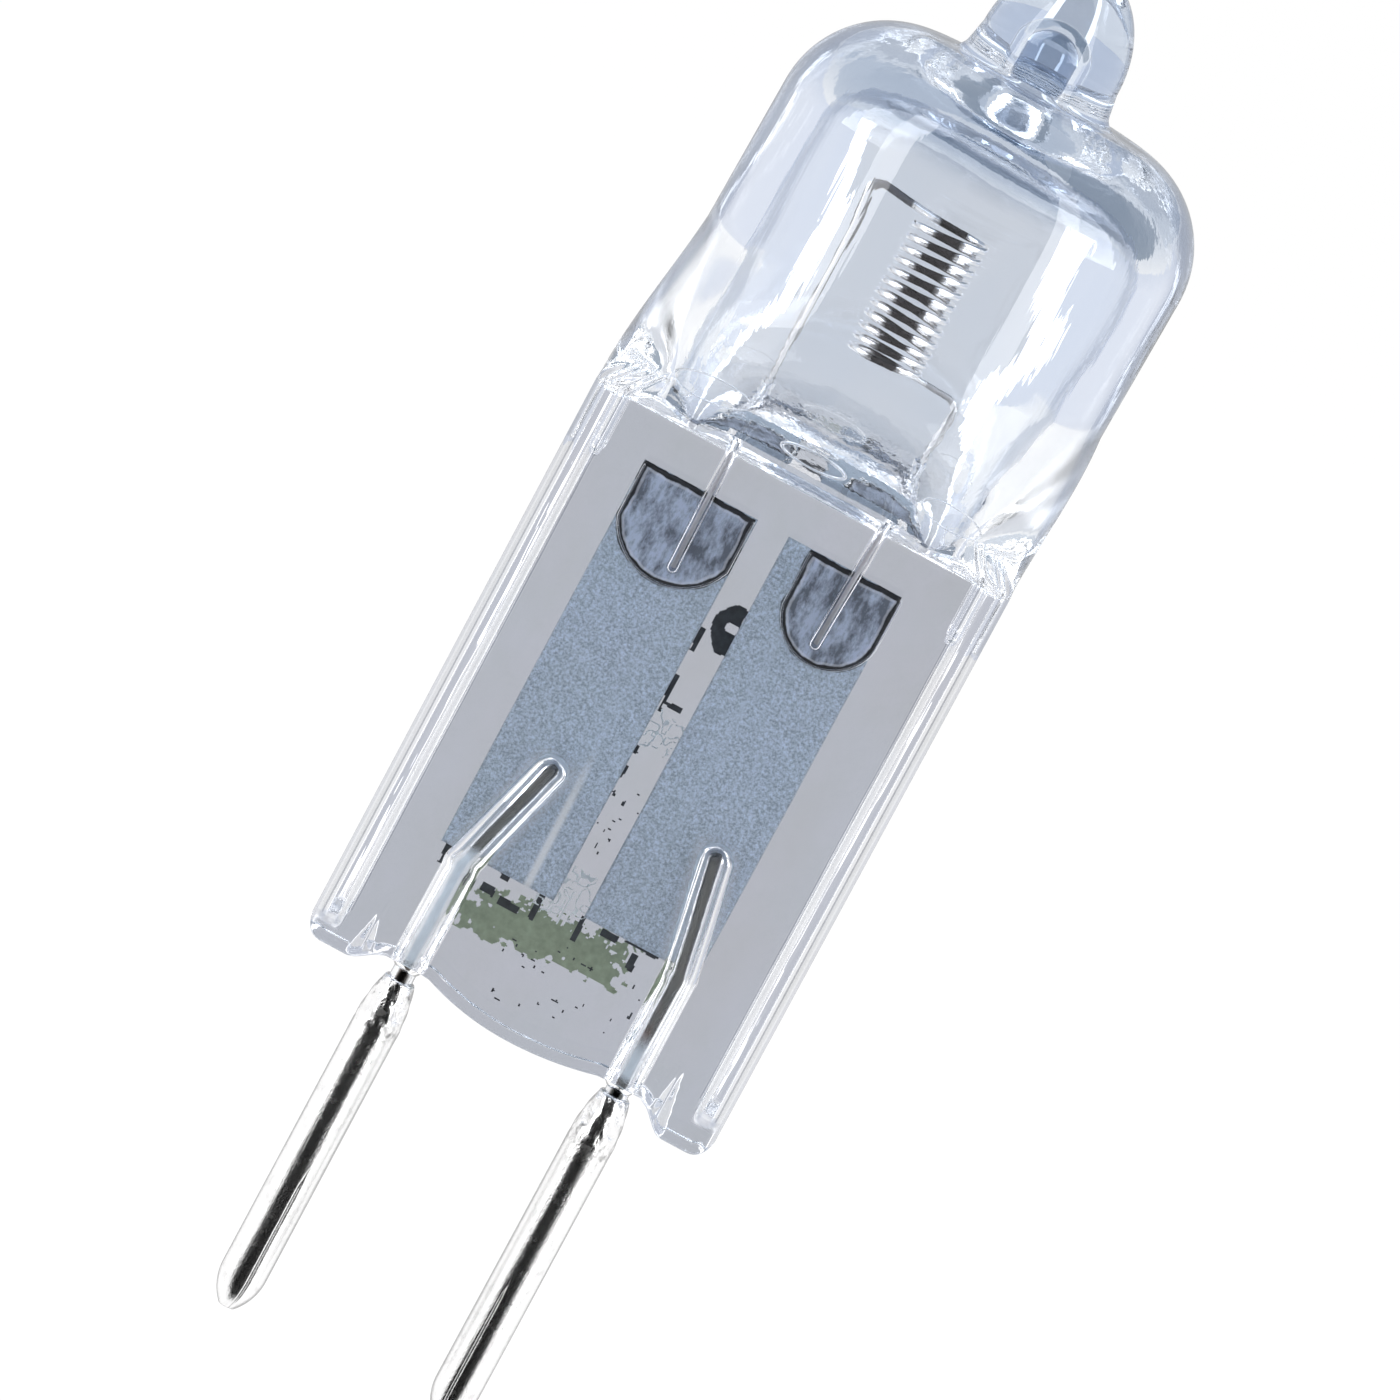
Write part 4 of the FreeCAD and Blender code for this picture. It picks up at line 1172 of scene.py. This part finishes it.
def key_light():
    """Small soft lamp above and in front."""
    light = bpy.data.lights.new("key_soft", "AREA")
    light.shape = "RECTANGLE"
    light.size, light.size_y = 0.16, 0.16
    light.energy = 0.09
    made = linked("key_soft", light)
    made.location = (0.03, -0.10, 0.20)
    made.rotation_euler = (math.radians(27), 0, math.radians(17))


def camera(studio):
    """Camera whose view is as wide at the lamp as the settings say."""
    data = bpy.data.cameras.new("camera")
    sensor = data.sensor_width = 36.0
    data.lens = studio.lens
    data.clip_start, data.clip_end = 0.01, 20.0
    made = linked("camera", data)
    elevation = math.radians(studio.elevation)
    away = studio.lens * studio.view_width / sensor * MM
    back = Vector((0.0, -math.cos(elevation), math.sin(elevation)))
    right = Vector((1.0, 0.0, 0.0))
    axes = Matrix((right, back.cross(right), back)).transposed().to_4x4()
    axes.translation = Vector((0.24, 0.0, 11.66)) * MM + back * away
    made.matrix_world = axes @ Matrix.Rotation(math.radians(studio.lean), 4, "Z")
    bpy.context.scene.camera = made


class LAMP_OT_studio(bpy.types.Operator):
    """Builds the floor, the panels, the soft lamp, the pale surroundings and the camera."""

    bl_idname = "lamp.studio"
    bl_label = "Studio"

    def execute(self, context):
        scene = context.scene
        studio = scene.lamp_studio
        floor = -scene.lamp_sizes.pin_length - studio.floor_drop
        reach = 4000.0
        corners = [(-reach, -reach, floor), (reach, -reach, floor), (reach, reach, floor),
                   (-reach, reach, floor)]
        add_stage("floor", corners, [(0, 1, 2, 3)], floor_finish())
        panels(studio, floor)
        key_light()
        camera(studio)
        graph = Graph(bpy.data.worlds.new("studio_world"))
        sky = graph.node("ShaderNodeBackground", {}, {"Color": (*WHITE, 1.0), "Strength": 1.0})
        scene.world = graph.finish(sky, "ShaderNodeOutputWorld")
        scene.view_settings.view_transform = "Standard"
        scene.cycles.max_bounces = scene.cycles.transmission_bounces = 28
        scene.cycles.glossy_bounces = 16
        return {"FINISHED"}


class LAMP_PT_panel(bpy.types.Panel):
    """Lists the lamp's pieces."""

    bl_idname = "LAMP_PT_panel"
    bl_label = "Halogen capsule bulb"
    bl_space_type = "VIEW_3D"
    bl_region_type = "UI"
    bl_category = "Lamp"

    def draw(self, context):
        for operator in OPERATORS:
            self.layout.operator(operator.bl_idname)


OPERATORS = (LAMP_OT_quartz, LAMP_OT_filament, LAMP_OT_foils, LAMP_OT_leads, LAMP_OT_pins, LAMP_OT_marks,
             LAMP_OT_studio)
GROUPS = {"lamp_sizes": LampSizes, "lamp_colours": LampColours, "lamp_studio": StudioSettings}


def register():
    for name, group in GROUPS.items():
        bpy.utils.register_class(group)
        setattr(bpy.types.Scene, name, PointerProperty(type=group))
    for operator in OPERATORS:
        bpy.utils.register_class(operator)
    bpy.utils.register_class(LAMP_PT_panel)


def unregister():
    bpy.utils.unregister_class(LAMP_PT_panel)
    for operator in reversed(OPERATORS):
        bpy.utils.unregister_class(operator)
    for name, group in GROUPS.items():
        delattr(bpy.types.Scene, name)
        bpy.utils.unregister_class(group)


def main():
    register()
    bpy.ops.lamp.quartz()
    bpy.ops.lamp.filament()
    bpy.ops.lamp.foils()
    bpy.ops.lamp.leads()
    bpy.ops.lamp.pins()
    bpy.ops.lamp.marks()
    bpy.ops.lamp.studio()


if __name__ == "__main__":
    main()
